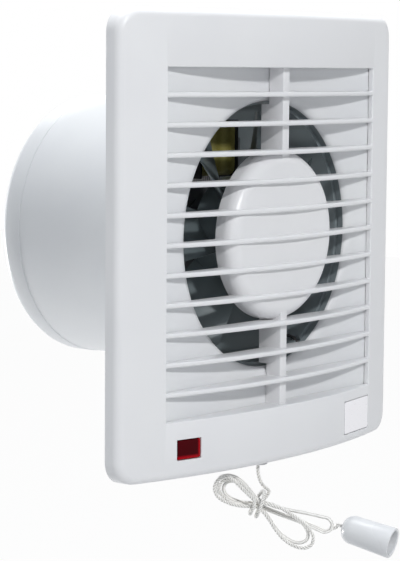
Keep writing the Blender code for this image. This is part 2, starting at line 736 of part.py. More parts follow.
def motor_stator():
    half = STACK_HALF_WIDTH
    yoke_bottom = STACK_TOP - YOKE_HEIGHT
    stack = box("motor_stator", (-half, STACK_FRONT, STACK_BOTTOM), (half, stack_rear, STACK_TOP))
    window_half = COIL_WINDOW_HALF_WIDTH
    low = (-window_half, 0.0, COIL_WINDOW_BOTTOM)
    high = (window_half, CUTTER_FAR, yoke_bottom)
    cut(stack, box("window", low, high))
    cut(stack, rod("bore", ROTOR_RADIUS + ROTOR_AIR_GAP, "y", (0.0, 0.0), 0.0, CUTTER_FAR, 24))
    for side in (-1, 1):
        place = (side * MOTOR_SCREW_X, 0.0)
        cut(stack, rod("hole", MOTOR_SCREW_RADIUS + FIT_GAP, "y", place, 0.0, CUTTER_FAR, 12))
    return paint(stack, LAMINATION)


def coil_sizes():
    """Half height, middle and depth range of the bobbin's hole around the yoke."""
    middle = STACK_TOP - YOKE_HEIGHT / 2
    half = YOKE_HEIGHT / 2 + FIT_GAP
    return middle, half, STACK_FRONT - FIT_GAP, stack_rear + FIT_GAP


def coil_bobbin():
    middle, half, near, far = coil_sizes()
    wall = BOBBIN_WALL
    bobbin = box("coil_bobbin", (-BOBBIN_HALF_LENGTH, near - wall, middle - half - wall),
                 (BOBBIN_HALF_LENGTH, far + wall, middle + half + wall))
    spread = wall + COIL_DEPTH
    for side in (-1, 1):
        inner = side * (BOBBIN_HALF_LENGTH - BOBBIN_FLANGE)
        outer = side * BOBBIN_HALF_LENGTH
        low = (min(inner, outer), near - spread, middle - half - spread)
        high = (max(inner, outer), far + spread, middle + half + spread)
        join(bobbin, box("flange", low, high))
    reach = BOBBIN_HALF_LENGTH + CUTTER_PAST
    cut(bobbin, box("hole", (-reach, near, middle - half), (reach, far, middle + half)))
    return paint(bobbin, BLACK_PLASTIC)


def motor_coil():
    middle, half, near, far = coil_sizes()
    inner = BOBBIN_WALL + FIT_GAP
    outer = BOBBIN_WALL + COIL_DEPTH - COIL_INSET
    length = BOBBIN_HALF_LENGTH - BOBBIN_FLANGE - FIT_GAP
    depth = (near + far) / 2
    reach = (far - near) / 2
    outline = rounded_rectangle(reach + outer, half + outer, COIL_CORNER, 4, (depth, middle))
    coil = prism("motor_coil", outline, "x", -length, length)
    past = length + CUTTER_PAST
    low = (-past, near - inner, middle - half - inner)
    high = (past, far + inner, middle + half + inner)
    cut(coil, box("hole", low, high))
    return paint(coil, COIL_TAPE)


def motor_end_plate(name, foot, direction):
    """A pressed strip with a raised middle that holds a bearing; foot is the depth of its feet."""
    thickness = PLATE_STRIP_THICKNESS * direction
    rise = PLATE_STRIP_RISE * direction
    line = [(PLATE_STRIP_HALF_LENGTH, foot), (PLATE_STRIP_FOOT, foot), (PLATE_STRIP_CROWN, foot + rise)]
    upper = [(x, y + thickness) for x, y in reversed(line)]
    outline = line + [(-x, y) for x, y in reversed(line)]
    outline += [(-x, y) for x, y in reversed(upper)] + upper
    strip_half = PLATE_STRIP_HALF_HEIGHT
    strip = prism(name, outline, "z", -strip_half, strip_half)
    hole = BEARING_RADIUS - BEARING_NECK_STEP
    cut(strip, rod("seat", hole, "y", (0.0, 0.0), 0.0, CUTTER_FAR, 16))
    for side in (-1, 1):
        place = (side * MOTOR_SCREW_X, 0.0)
        cut(strip, rod("hole", MOTOR_SCREW_RADIUS + FIT_GAP, "y", place, 0.0, CUTTER_FAR, 12))
    return paint(strip, STEEL)


def bearing(name, seat, direction):
    """A sintered bush: a narrow neck through the end plate and a body inside it."""
    bore = SHAFT_RADIUS + BEARING_CLEARANCE
    neck = BEARING_RADIUS - BEARING_NECK_STEP - FIT_GAP
    body_start = seat - direction * FIT_GAP
    body_end = body_start - direction * BEARING_BODY_LENGTH
    neck_end = seat + direction * (PLATE_STRIP_THICKNESS + BEARING_NECK_PROUD)
    profile = [(neck, neck_end), (neck, body_start), (BEARING_RADIUS, body_start),
               (BEARING_RADIUS, body_end), (bore, body_end), (bore, neck_end)]
    return turned(name, profile, 16, BRONZE)


def motor():
    motor_bracket()
    motor_stator()
    coil_bobbin()
    motor_coil()
    front_foot = STACK_FRONT - FIT_GAP
    rear_foot = stack_rear + FIT_GAP
    motor_end_plate("motor_front_plate", front_foot, -1)
    motor_end_plate("motor_rear_plate", rear_foot, 1)
    bearing("front_bearing", front_foot - PLATE_STRIP_RISE, -1)
    bearing("rear_bearing", rear_foot + PLATE_STRIP_RISE, 1)
    bracket_rear = rear_foot + PLATE_STRIP_THICKNESS + FIT_GAP + BRACKET_THICKNESS
    head_rear = front_foot - PLATE_STRIP_THICKNESS - FIT_GAP
    for number, side in enumerate((-1, 1), start=1):
        place = (side * MOTOR_SCREW_X, 0.0)
        name = f"motor_screw_{number}"
        screw = rod(name, MOTOR_SCREW_RADIUS, "y", place, head_rear - JOIN_DEPTH, bracket_rear, 12)
        head_front = head_rear - MOTOR_SCREW_HEAD_HEIGHT
        join(screw, rod("head", MOTOR_SCREW_HEAD_RADIUS, "y", place, head_front, head_rear, 12))
        paint(screw, STEEL)


def impeller_blade(number):
    """One twisted, cambered blade from inside the hub to the tip."""
    turn = math.radians(BLADE_START_ANGLE) + 2 * math.pi * number / BLADE_COUNT
    root = IMPELLER_HUB_RADIUS - IMPELLER_HUB_WALL / 2
    rings = []
    for section in range(BLADE_SECTIONS):
        share = section / (BLADE_SECTIONS - 1)
        radius = root + share * (impeller_tip_radius - root)
        chord = BLADE_ROOT_CHORD + share * (BLADE_TIP_CHORD - BLADE_ROOT_CHORD)
        pitch = math.radians(BLADE_ROOT_PITCH + share * (BLADE_TIP_PITCH - BLADE_ROOT_PITCH))
        upper = []
        lower = []
        for step in range(BLADE_CHORD_STEPS):
            along = step / (BLADE_CHORD_STEPS - 1) - 0.5
            bow = BLADE_CAMBER * (1 - 4 * along * along)
            thickness = BLADE_THICKNESS * (1 - 2.2 * along * along)
            for side, row in ((0.5, upper), (-0.5, lower)):
                across = along * chord
                out = bow + side * thickness
                sideways = across * math.cos(pitch) - out * math.sin(pitch)
                depth = IMPELLER_MIDDLE + across * math.sin(pitch) + out * math.cos(pitch)
                angle = turn - sideways / radius
                row.append((radius * math.cos(angle), depth, radius * math.sin(angle)))
        rings.append(lower + list(reversed(upper)))
    return rings


def impeller():
    front = -IMPELLER_HUB_FRONT
    rear = front + IMPELLER_HUB_DEPTH
    outer = IMPELLER_HUB_RADIUS
    inner = outer - IMPELLER_HUB_WALL
    bore = SHAFT_RADIUS + BEARING_CLEARANCE
    boss = IMPELLER_BOSS_RADIUS
    chamfer = IMPELLER_HUB_CHAMFER
    floor = front + IMPELLER_HUB_WALL
    profile = [(bore, front), (outer - chamfer, front), (outer, front + chamfer), (outer, rear),
               (inner, rear), (inner, floor), (boss, floor), (boss, rear), (bore, rear)]
    hub = turned("impeller", profile, 42)
    for number in range(BLADE_COUNT):
        join(hub, loft("blade", impeller_blade(number)))
    shade_round(hub)
    return paint(hub, DARK_PLASTIC)


def sleeve(bore, radius, near, far):
    """Profile of a plain round sleeve between two depths."""
    return [(bore, near), (radius, near), (radius, far), (bore, far)]


def rotating_set():
    impeller()
    rear_seat = stack_rear + FIT_GAP + PLATE_STRIP_RISE
    shaft_rear = rear_seat + PLATE_STRIP_THICKNESS + SHAFT_PROUD
    rod("motor_shaft", SHAFT_RADIUS, "y", (0.0, 0.0), -SHAFT_FRONT, shaft_rear, 16, STEEL)
    rotor_bore = SHAFT_RADIUS + BEARING_CLEARANCE
    turned("motor_rotor", sleeve(rotor_bore, ROTOR_RADIUS, STACK_FRONT, stack_rear), 24, LAMINATION)
    clip_rear = -IMPELLER_HUB_FRONT - FIT_GAP
    clip_front = clip_rear - CLIP_THICKNESS
    turned("impeller_clip", sleeve(rotor_bore, CLIP_RADIUS, clip_front, clip_rear), 16, STEEL)


def switch_body():
    """The pull switch's housing, with the slot that the lever and the stop knot work in."""
    low = (SWITCH_LEFT, -SWITCH_FRONT, switch_bottom)
    high = (SWITCH_RIGHT, -cavity_floor, strip_top)
    body = box("switch_body", low, high)
    half_depth = LEVER_THICKNESS / 2 + FIT_GAP
    low = (SWITCH_LEFT + SWITCH_WALL, CORD_Y - half_depth, switch_bottom - CUTTER_PAST)
    high = (SWITCH_RIGHT - SWITCH_WALL, CORD_Y + half_depth, strip_top - SWITCH_WALL)
    cut(body, box("slot", low, high))
    pivot = (LEVER_PIVOT_X, lever_pivot_z)
    pin_rear = CORD_Y + LEVER_THICKNESS / 2 + PIN_SEAT
    cut(body, rod("pin_hole", PIN_RADIUS + FIT_GAP, "y", pivot, -CUTTER_FAR, pin_rear + FIT_GAP, 16))
    paint(body, PALE_PLASTIC)
    rod("lever_pin", PIN_RADIUS, "y", pivot, -SWITCH_FRONT, pin_rear, 16, STEEL)


def switch_lever():
    """The rocking lever, with an eye for the cord, that the stop knot pulls down."""
    half = LEVER_THICKNESS / 2
    pivot = (LEVER_PIVOT_X, lever_pivot_z)
    low = (LEVER_PIVOT_X - LEVER_TAIL, CORD_Y - half, lever_pivot_z - LEVER_HEIGHT / 2)
    high = (LEVER_PIVOT_X + LEVER_REACH, CORD_Y + half, lever_pivot_z + LEVER_HEIGHT / 2)
    lever = box("switch_lever", low, high)
    join(lever, rod("boss", PIN_RADIUS + LEVER_BOSS_WALL, "y", pivot, CORD_Y - half, CORD_Y + half, 16))
    cut(lever, rod("hole", PIN_RADIUS + FIT_GAP, "y", pivot, -CUTTER_FAR, CUTTER_FAR, 16))
    eye_low = (CORD_X - LEVER_EYE_HALF_LENGTH, CORD_Y - EYE_HALF_WIDTH, switch_bottom)
    eye_high = (CORD_X + LEVER_EYE_HALF_LENGTH, CORD_Y + EYE_HALF_WIDTH, strip_top)
    cut(lever, box("eye", eye_low, eye_high))
    set_origin(paint(lever, BLACK_PLASTIC), (LEVER_PIVOT_X, CORD_Y, lever_pivot_z))


def return_spring():
    """Coil spring between the lever's tail and the roof of the switch's slot."""
    low = lever_pivot_z + LEVER_HEIGHT / 2 + FIT_GAP + SPRING_WIRE_RADIUS
    high = strip_top - SWITCH_WALL - FIT_GAP - SPRING_WIRE_RADIUS
    middle_x = LEVER_PIVOT_X - LEVER_TAIL + SPRING_RADIUS + 2 * SPRING_WIRE_RADIUS
    points = []
    steps = SPRING_TURNS * SPRING_TURN_POINTS
    for step in range(steps + 1):
        angle = 2 * math.pi * step / SPRING_TURN_POINTS
        height = low + (high - low) * step / steps
        across = SPRING_RADIUS * math.cos(angle)
        deep = SPRING_RADIUS * math.sin(angle)
        points.append((middle_x + across, CORD_Y + deep, height))
    return tube("lever_return_spring", points, SPRING_WIRE_RADIUS, STEEL, 1)


def terminal_block():
    low = (TERMINAL_LEFT, -TERMINAL_FRONT, terminal_bottom)
    high = (TERMINAL_RIGHT, -cavity_floor, strip_top)
    block = box("terminal_block", low, high)
    spacing = (TERMINAL_RIGHT - TERMINAL_LEFT) / TERMINAL_COUNT
    middle_z = (terminal_bottom + strip_top) / 2
    for number in range(TERMINAL_COUNT):
        place = (TERMINAL_LEFT + spacing * (number + 0.5), middle_z)
        head = TERMINAL_SCREW_RADIUS
        floor = -TERMINAL_FRONT + TERMINAL_SCREW_DEPTH
        cut(block, rod("hole", head + FIT_GAP, "y", place, -CUTTER_FAR, floor + FIT_GAP, 12))
        front = -TERMINAL_FRONT + TERMINAL_SCREW_SINK
        screw = rod(f"terminal_screw_{number + 1}", head, "y", place, front, floor, 12)
        slot_half = TERMINAL_SLOT_WIDTH / 2
        low = (place[0] - CUTTER_PAST, front - CUTTER_PAST, middle_z - slot_half)
        high = (place[0] + CUTTER_PAST, front + TERMINAL_SLOT_DEPTH, middle_z + slot_half)
        paint(cut(screw, box("slot", low, high)), BRASS)
    return paint(block, PALE_PLASTIC)


def indicator():
    lens = surface_box("indicator_lens", LENS_X, lens_z, LENS_WIDTH - 2 * FIT_GAP, LENS_HEIGHT - 2 * FIT_GAP,
                       LENS_SINK, COVER_WALL + FIT_GAP + LENS_LIP_THICKNESS / 2)
    lip_front = COVER_WALL + FIT_GAP
    lip = surface_box("lip", LENS_X, lens_z, LENS_WIDTH + 2 * LENS_LIP, LENS_HEIGHT + 2 * LENS_LIP,
                      lip_front, lip_front + LENS_LIP_THICKNESS)
    paint(join(lens, lip), RED_LENS)

    cheek_inner = LAMP_LENGTH / 2 + FIT_GAP
    cheek_outer = cheek_inner + LAMP_CHEEK
    base_front = -cavity_floor - LAMP_HOLDER_BASE
    half_width = cheek_outer + LAMP_HOLDER_SIDE
    half_height = LAMP_RADIUS + LAMP_HOLDER_RIM
    holder = box("lamp_holder", (LENS_X - half_width, base_front, lens_z - half_height),
                 (LENS_X + half_width, -cavity_floor, lens_z + half_height))
    for side in (-1, 1):
        ends = sorted((LENS_X + side * cheek_inner, LENS_X + side * cheek_outer))
        low = (ends[0], -LAMP_HOLDER_HEIGHT, lens_z - LAMP_RADIUS)
        high = (ends[1], base_front + LAMP_HOLDER_BASE / 2, lens_z + LAMP_RADIUS)
        join(holder, box("cheek", low, high))
    paint(holder, PALE_PLASTIC)
    lamp_place = (base_front - FIT_GAP - LAMP_RADIUS, lens_z)
    left = LENS_X - LAMP_LENGTH / 2
    rod("neon_lamp", LAMP_RADIUS, "x", lamp_place, left, left + LAMP_LENGTH, 16, LAMP_GLASS)


def badge_plate():
    """The bare plate in the cover's pocket, a hair below the cover's surface."""
    width = BADGE_WIDTH - 2 * FIT_GAP
    height = BADGE_HEIGHT - 2 * FIT_GAP
    rear = BADGE_POCKET - FIT_GAP
    front = rear - BADGE_THICKNESS
    return surface_box("badge_plate", BADGE_X, badge_z, width, height, front, rear, BADGE_SILVER)


def cable_grommet():
    shank = CABLE_HOLE_RADIUS - FIT_GAP
    lip = CABLE_HOLE_RADIUS + GROMMET_LIP_REACH
    front = -cavity_floor - GROMMET_LIP
    profile = [(GROMMET_BORE, front), (lip, front), (lip, -cavity_floor), (shank, -cavity_floor),
               (shank, -GROMMET_REAR_GAP), (GROMMET_BORE, -GROMMET_REAR_GAP)]
    return turned("cable_grommet", profile, 24, GREY_RUBBER, (CABLE_HOLE_X, cable_hole_z))


def cord_guide():
    """The bush in the cover's underside that the cord runs through."""
    place = (CORD_X, CORD_Y)
    lip_top = cover_bottom - FIT_GAP
    guide = rod("cord_guide", GUIDE_LIP_RADIUS, "z", place, lip_top - GUIDE_LIP, lip_top, 24)
    inside = cover_bottom + COVER_WALL
    join(guide, rod("shank", GUIDE_RADIUS, "z", place, lip_top - GUIDE_LIP / 2, inside, 24))
    bore = rod("bore", GUIDE_BORE, "z", place, cover_bottom - CUTTER_PAST, cover_bottom + CUTTER_PAST, 16)
    cut(guide, bore)
    return paint(guide, WHITE_PLASTIC)


def round_duct(radius, degrees, depth):
    """A point at a radius and an angle about the duct's axis."""
    angle = math.radians(degrees)
    return (radius * math.cos(angle), depth, radius * math.sin(angle))


def lead(name, route):
    return tube(name, smooth_route(route, ROUTE_SPACING), LEAD_RADIUS, BLACK_PLASTIC, 1)


def inner_leads():
    """Insulated leads between the terminals, the switch, the lamp and the motor."""
    switch_end = lever_pivot_z - LEAD_DROP
    lead("switch_lead", [
        (TERMINAL_LEFT - FIT_GAP, -7 * mm, switch_end), (11 * mm, -7 * mm, switch_end - 1.6 * mm),
        (6.5 * mm, -6.5 * mm, switch_end - 2.4 * mm), (2 * mm, -7 * mm, switch_end - 1.6 * mm),
        (SWITCH_RIGHT + FIT_GAP, -7 * mm, switch_end)])
    holder_end = LENS_X + LAMP_LENGTH / 2 + 2 * FIT_GAP + LAMP_CHEEK + LAMP_HOLDER_SIDE
    lead("lamp_lead", [
        (SWITCH_LEFT - FIT_GAP, -6 * mm, switch_end), (-31 * mm, -5.6 * mm, switch_end - 1.4 * mm),
        (-36 * mm, -4.6 * mm, switch_end - 1.2 * mm), (-40 * mm, -3.8 * mm, switch_end),
        (holder_end, -3.6 * mm, lens_z - LEAD_DROP)])
    bobbin_end = BOBBIN_HALF_LENGTH + FIT_GAP
    notch = LEAD_NOTCH_ANGLE
    bore_side = duct_bore - LEAD_RADIUS - FIT_GAP
    lead("motor_lead", [
        (28 * mm, -4.8 * mm, strip_top + FIT_GAP), (27.5 * mm, -4.0 * mm, strip_top + 6.2 * mm),
        round_duct(DUCT_RADIUS + 5.9 * mm, notch - 1.8, -3.5 * mm),
        round_duct(DUCT_RADIUS - 1.1 * mm, notch, -3.4 * mm),
        round_duct(bore_side, notch, -1.6 * mm), round_duct(bore_side, notch, 4 * mm),
        round_duct(bore_side, notch, STACK_FRONT),
        round_duct(bore_side - 0.4 * mm, notch + 0.7, stack_rear - 3.3 * mm),
        round_duct(bore_side - 3.4 * mm, -46.0, stack_rear + 7.2 * mm),
        round_duct(bore_side - 6.5 * mm, -21.0, stack_rear + 10.2 * mm),
        round_duct(bore_side - 8.9 * mm, 6.0, stack_rear + 11.2 * mm),
        round_duct(bore_side - 10.4 * mm, 33.0, stack_rear + 10.7 * mm),
        round_duct(bore_side - 11.5 * mm, 53.5, stack_rear + 8.2 * mm),
        (bobbin_end, stack_rear + 4.7 * mm, STACK_TOP - YOKE_HEIGHT / 2)])


def knot(name, centre, radius, finish):
    """A small round knot with flat poles along Z."""
    profile = arc((0.0, 0.0), radius, -80.0, 80.0, 6)
    rings = []
    for reach, height in profile:
        rings.append([(centre[0] + x, centre[1] + y, centre[2] + height) for x, y in circle(reach, 12)])
    return loft(name, rings, finish=finish)


def blend(share):
    clamped = min(1.0, max(0.0, share))
    return clamped * clamped * (3 - 2 * clamped)


def hank_place(along, across, depth, tilt):
    """World place of a point of the hank: along and across its run, and in depth."""
    side = Vector(HANK_RIGHT_DIRECTION if along > 0 else HANK_LEFT_DIRECTION).normalized()
    away = Vector(HANK_DEPTH_DIRECTION).normalized()
    reach = abs(along)
    level = reach * math.cos(tilt) - across * math.sin(tilt) * (1 if along > 0 else -1)
    height = across * math.cos(tilt) + along * math.sin(tilt)
    return Vector(hank_waist) + side * level + away * depth + Vector((0.0, 0.0, height))


def wide_lobe(length, fatness, cosine, sine):
    """A drop-shaped lobe, narrow at the waist."""
    along = cosine * math.hypot(length * cosine, HANK_WAIST_HALF * sine)
    across = sine * math.hypot(fatness * length * cosine ** 2, HANK_WAIST_HALF)
    return along, across


def long_fold(length, half_width, cosine, sine):
    """Two runs side by side with a round end, that close up towards the waist."""
    bend = math.pi / 2 * min(1.0, 2 * abs(sine))
    past = max(0.0, 2 * abs(sine) - 1.0)
    run = (length - half_width * (1 - math.cos(bend))) * (1 - past)
    along = cosine * math.hypot(run / max(abs(cosine), 1e-6), HANK_WAIST_HALF * sine)
    across = math.hypot(half_width * math.sin(bend) * (1 - past), HANK_WAIST_HALF * sine)
    return along, math.copysign(across, sine)


def hank_point(turns):
    """The hank's centre line; turns counts loops from the right-hand tip."""
    loop = math.floor(turns)
    angle = 2 * math.pi * (turns - loop)
    cosine = math.cos(angle)
    sine = math.sin(angle)
    right = math.floor(turns - 0.5)
    if cosine < 0:
        tilt = HANK_LEFT_TILT
        along, across = wide_lobe(*HANK_LEFT_LOBES[loop], cosine, sine)
    elif right < len(HANK_LOW_LOBES):
        tilt = HANK_LOW_TILT
        along, across = wide_lobe(*HANK_LOW_LOBES[right], cosine, sine)
    else:
        tilt = HANK_HIGH_TILT
        along, across = long_fold(*HANK_FOLDS[right - len(HANK_LOW_LOBES)], cosine, sine)
    climbed = loop + blend(((turns - loop) * 360.0 - 140.0) / 80.0)
    depth = (climbed - (len(HANK_LEFT_LOBES) + 1) / 2) * HANK_STEP
    lean = HANK_WAIST_TILT + (tilt - HANK_WAIST_TILT) * blend((abs(cosine) - 0.3) / 0.5)
    return hank_place(along, across, depth, math.radians(lean))


def wrap_point(turns):
    """The turns round the hank's waist, from the right-hand one to the left-hand one."""
    right = Vector(HANK_RIGHT_DIRECTION).normalized() - Vector(HANK_LEFT_DIRECTION).normalized()
    away = Vector(HANK_DEPTH_DIRECTION).normalized()
    level_axis = right.normalized()
    upright = level_axis.cross(away).normalized()
    if upright.z < 0:
        upright = -upright
    lean = math.radians(HANK_WAIST_TILT)
    axis = level_axis * math.cos(lean) + upright * math.sin(lean)
    upward = upright * math.cos(lean) - level_axis * math.sin(lean)
    angle = 2 * math.pi * turns
    along = (1.0 - turns) * WRAP_STEP + WRAP_SHIFT
    depth = WRAP_HALF_DEPTH * math.sin(angle)
    height = WRAP_HALF_HEIGHT * math.cos(angle)
    return Vector(hank_waist) + axis * along + away * depth + upward * height


def hank_points():
    """The whole hank: turns round the waist, then the loops, out to the right-hand tip."""
    wrapped = WRAP_LAST_TURN - WRAP_FIRST_TURN
    points = [wrap_point(WRAP_FIRST_TURN + wrapped * step / WRAP_POINTS) for step in range(WRAP_POINTS + 1)]
    span = len(HANK_LEFT_LOBES) - HANK_TIP_SHORT - HANK_FIRST_TURN
    steps = round(span * LOOP_POINTS)
    points += [hank_point(HANK_FIRST_TURN + span * step / steps) for step in range(steps + 1)]
    return even_points(points, HANK_SPACING)


def least_gap(points, radius, skip):
    """The least clear gap of a tube to itself, past a few neighbours along its line."""
    fine = even_points(points, GAP_SPACING)
    reach = round(skip / GAP_SPACING)
    middle_gaps = []
    for index, point in enumerate(fine):
        middle_gaps += [(point - other).length for other in fine[index + reach:]]
    return min(middle_gaps) - 2 * radius


def pull_cord():
    place = (CORD_X, CORD_Y)
    knot_bottom = lever_pivot_z + LEVER_HEIGHT / 2 + FIT_GAP
    knot("stop_knot", (CORD_X, CORD_Y, knot_bottom + STOP_KNOT_RADIUS), STOP_KNOT_RADIUS, CORD_WHITE)
    joint_z = cover_bottom - FIT_GAP
    rod("inner_cord", CORD_RADIUS, "z", place, joint_z + FIT_GAP, knot_bottom - FIT_GAP / 2, 10, CORD_WHITE)

    hank = hank_points()
    arrival = (hank[0] - hank[1]).normalized()
    stretch_end = hank[0] + arrival * FIT_GAP
    stretch = [(CORD_X, CORD_Y, joint_z), (CORD_X, CORD_Y, joint_z - 3 * mm),
               (-9.2 * mm, -12.1 * mm, cover_bottom - 6.2 * mm),
               (-7.4 * mm, -12.5 * mm, cover_bottom - 9.0 * mm),
               stretch_end + arrival * 3 * mm, stretch_end + arrival * mm, stretch_end]
    tube("cord_stretch", smooth_route(stretch, 1.2 * mm), CORD_RADIUS, CORD_WHITE)
    tube("cord_hank", hank, CORD_RADIUS, CORD_WHITE, 1)
    print(f"cord_hank least gap to itself {least_gap(hank, CORD_RADIUS, GAP_SKIP) / mm:.2f} mm")

    axis = Vector(ACORN_AXIS).normalized()
    top = Vector(acorn_top)
    down = Vector((0.0, 0.0, -1.0))
    sag = (down - axis * down.dot(axis)).normalized()
    leaving = (hank[-1] - hank[-2]).normalized()
    tail_start = hank[-1] + leaving * FIT_GAP
    knot_place = top + axis * (ACORN_LENGTH - ACORN_KNOT_INSET)
    knot_place += sag * (ACORN_CAP_RADIUS - ACORN_WALL - END_KNOT_RADIUS - FIT_GAP)
    tail_end = knot_place - axis * (END_KNOT_RADIUS + FIT_GAP)
    tail = [tail_start, tail_start + leaving * 1.2 * mm, top - axis * 2 * mm, top + axis * mm,
            top + axis * 4 * mm, top + axis * 8 * mm + sag * 1.2 * mm, tail_end - axis * mm, tail_end]
    tube("cord_tail", smooth_route(tail, 1.8 * mm), CORD_RADIUS, CORD_WHITE)
    knot("end_knot", knot_place, END_KNOT_RADIUS, CORD_WHITE)
    acorn(top, axis)


def acorn_shoulder(radius, near, far, steps):
    """Rounded profile from the cord's hole out to the side of the pull."""
    points = []
    for step in range(steps + 1):
        angle = math.pi / 2 * step / steps
        out = ACORN_HOLE + (radius - ACORN_HOLE) * math.sin(angle)
        points.append((out, near + (far - near) * (1 - math.cos(angle))))
    return points


def acorn(top, axis):
    """A hollow bell-shaped pull, round at the cord's end and open at the other."""
    cap = ACORN_CAP_RADIUS
    rim = ACORN_RIM_RADIUS
    wall = ACORN_WALL
    outside = acorn_shoulder(cap, 0.0, ACORN_SHOULDER, 5)
    inside = acorn_shoulder(cap - wall, ACORN_CROWN, ACORN_SHOULDER, 3)
    profile = outside + [(rim, ACORN_LENGTH), (rim - wall, ACORN_LENGTH)] + list(reversed(inside))
    pull = turned("pull_acorn", profile, 32)
    turn = Vector((0.0, 1.0, 0.0)).rotation_difference(axis).to_matrix().to_4x4()
    pull.data.transform(Matrix.Translation(top) @ turn)
    shade_round(pull)
    return paint(pull, ACORN_WHITE)


def carry(name, place, child_names):
    """An empty on a joint's axis that carries the pieces which move about it."""
    holder = bpy.data.objects.new(name, None)
    holder.location = place
    bpy.context.collection.objects.link(holder)
    bpy.context.view_layer.update()
    for child_name in child_names:
        child = bpy.data.objects[child_name]
        child.parent = holder
        child.matrix_parent_inverse = holder.matrix_world.inverted()


def main():
    for piece in list(bpy.data.objects):
        bpy.data.objects.remove(piece)
    front_cover()
    inlet_plate()
    duct_casing()
    outlet_ring()
    motor()
    rotating_set()
    switch_body()
    switch_lever()
    return_spring()
    terminal_block()
    indicator()
    badge_plate()
    cable_grommet()
    cord_guide()
    inner_leads()
    pull_cord()
    rotating = ("motor_shaft", "motor_rotor", "impeller", "impeller_clip")
    carry("impeller_axis", (0.0, 0.0, 0.0), rotating)
    pulled = ("stop_knot", "inner_cord", "cord_stretch", "cord_hank", "cord_tail", "end_knot", "pull_acorn")
    carry("pull_axis", (CORD_X, CORD_Y, cover_bottom), pulled)


main()
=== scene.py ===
"""A wall-mounted bathroom exhaust fan with a louvred cover, a round duct and a pull cord.

+Z is up, -Y faces the room and +Y runs down the duct. All lengths are metres.
"""

import math

import bpy
from mathutils import Matrix, Vector
from mathutils.kdtree import KDTree


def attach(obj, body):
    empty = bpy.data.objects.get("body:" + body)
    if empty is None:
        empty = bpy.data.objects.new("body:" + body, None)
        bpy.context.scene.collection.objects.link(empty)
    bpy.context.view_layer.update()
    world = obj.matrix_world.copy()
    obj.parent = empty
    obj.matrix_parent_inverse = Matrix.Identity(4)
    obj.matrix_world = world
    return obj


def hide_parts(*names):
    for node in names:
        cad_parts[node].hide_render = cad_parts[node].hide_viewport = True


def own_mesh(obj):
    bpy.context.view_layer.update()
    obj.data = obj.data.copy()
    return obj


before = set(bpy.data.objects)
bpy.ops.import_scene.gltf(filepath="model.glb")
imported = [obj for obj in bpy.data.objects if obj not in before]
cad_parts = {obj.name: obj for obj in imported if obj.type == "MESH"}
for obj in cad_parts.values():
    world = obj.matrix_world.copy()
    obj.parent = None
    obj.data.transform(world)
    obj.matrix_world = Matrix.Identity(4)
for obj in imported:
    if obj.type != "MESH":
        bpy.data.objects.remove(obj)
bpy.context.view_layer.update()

mm = 0.001
OVERLAP = 0.6 * mm
FAR = 100.0 * mm
SAME = 0.001 * mm
SMOOTH_ANGLE = 28.0

# Front cover
COVER_HALF = 79.0 * mm
COVER_DROP = 1.0 * mm
COVER_EDGE_DEPTH = 6.0 * mm
COVER_BULGE = 12.3 * mm
COVER_CORNER = 8.0 * mm
COVER_WALL = 2.0 * mm
COVER_ROUND = 2.5 * mm
COVER_REAR = 0.4 * mm
FIT_GAP = 0.25 * mm
BOW_STEP = 2.0 * mm

# Louvre window, rib and dome
WINDOW_HALF_WIDTH = 60.0 * mm
WINDOW_HALF_HEIGHT = 59.5 * mm
WINDOW_Z = -0.7 * mm
WINDOW_WALL = 1.6 * mm
WINDOW_EDGE = 0.45 * mm
GRILLE_REAR = 9.2 * mm
SLAT_COUNT = 11
SLAT_THICKNESS = 1.7 * mm
SLAT_EDGE = 0.72 * mm
RIB_HALF = 1.9 * mm
RIB_FRONT = 15.4 * mm
RIB_REAR = 5.8 * mm
RIB_HALF_REACH = 46.0 * mm
RIB_EDGE = 0.5 * mm
DOME_RADIUS = 30.0 * mm
DOME_FRONT = 15.8 * mm
DOME_REAR = 7.7 * mm
DOME_ROUND = 5.0 * mm
DOME_WALL = 1.8 * mm

# Inlet wall and duct
PLATE_FRONT = 8.9 * mm
PLATE_THICKNESS = 2.0 * mm
PLATE_CORNER = 4.0 * mm
LEG_RADIUS = 3.0 * mm
LEG_INSET = 6.0 * mm
LEG_REAR = 2.8 * mm
BELL_RADIUS = 47.2 * mm
BELL_LIP_REACH = 3.6 * mm
BELL_LIP_DEPTH = 1.9 * mm
BELL_WALL = 2.5 * mm
BELL_REAR = 4.8 * mm
DUCT_RADIUS = 48.0 * mm
DUCT_BORE = 46.0 * mm
DUCT_FRONT = 4.5 * mm
DUCT_LENGTH = 68.0 * mm
FLANGE_HALF = 76.7 * mm
FLANGE_THICKNESS = 2.5 * mm
FLANGE_CORNER = 6.0 * mm
SCREW_HOLE_RADIUS = 2.3 * mm
SCREW_HOLE_PLACE = 67.2 * mm
CABLE_HOLE_RADIUS = 6.0 * mm
CABLE_HOLE_X = 52.0 * mm
NOTCH_LOW = (41.0 * mm, -9.5 * mm, -1.3 * mm)
NOTCH_HIGH = (49.0 * mm, -0.8 * mm, 1.3 * mm)
NOTCH_ANGLE = 60.0
RING_FRONT = 68.05 * mm
RING_REAR = 77.6 * mm
RING_RADIUS = 48.2 * mm
RING_ROUND = 3.5 * mm
RING_BORE = 42.7 * mm
RING_EDGE = 0.4 * mm
RING_LIP = 1.0 * mm
PAINTED_SHADE_END = 60.0 * mm
WALL_PAINTED_SHADE_START = -7.1 * mm
DUCT_PAINTED_SHADE_START = -4.6 * mm
DUCT_PAINTED_SHADE_RADIUS = 47.8 * mm
SLEEVE_RADIUS = 45.7 * mm
SLEEVE_FRONT = 60.3 * mm
SLEEVE_BORE = 44.3 * mm
ROUND_SIDES = 192

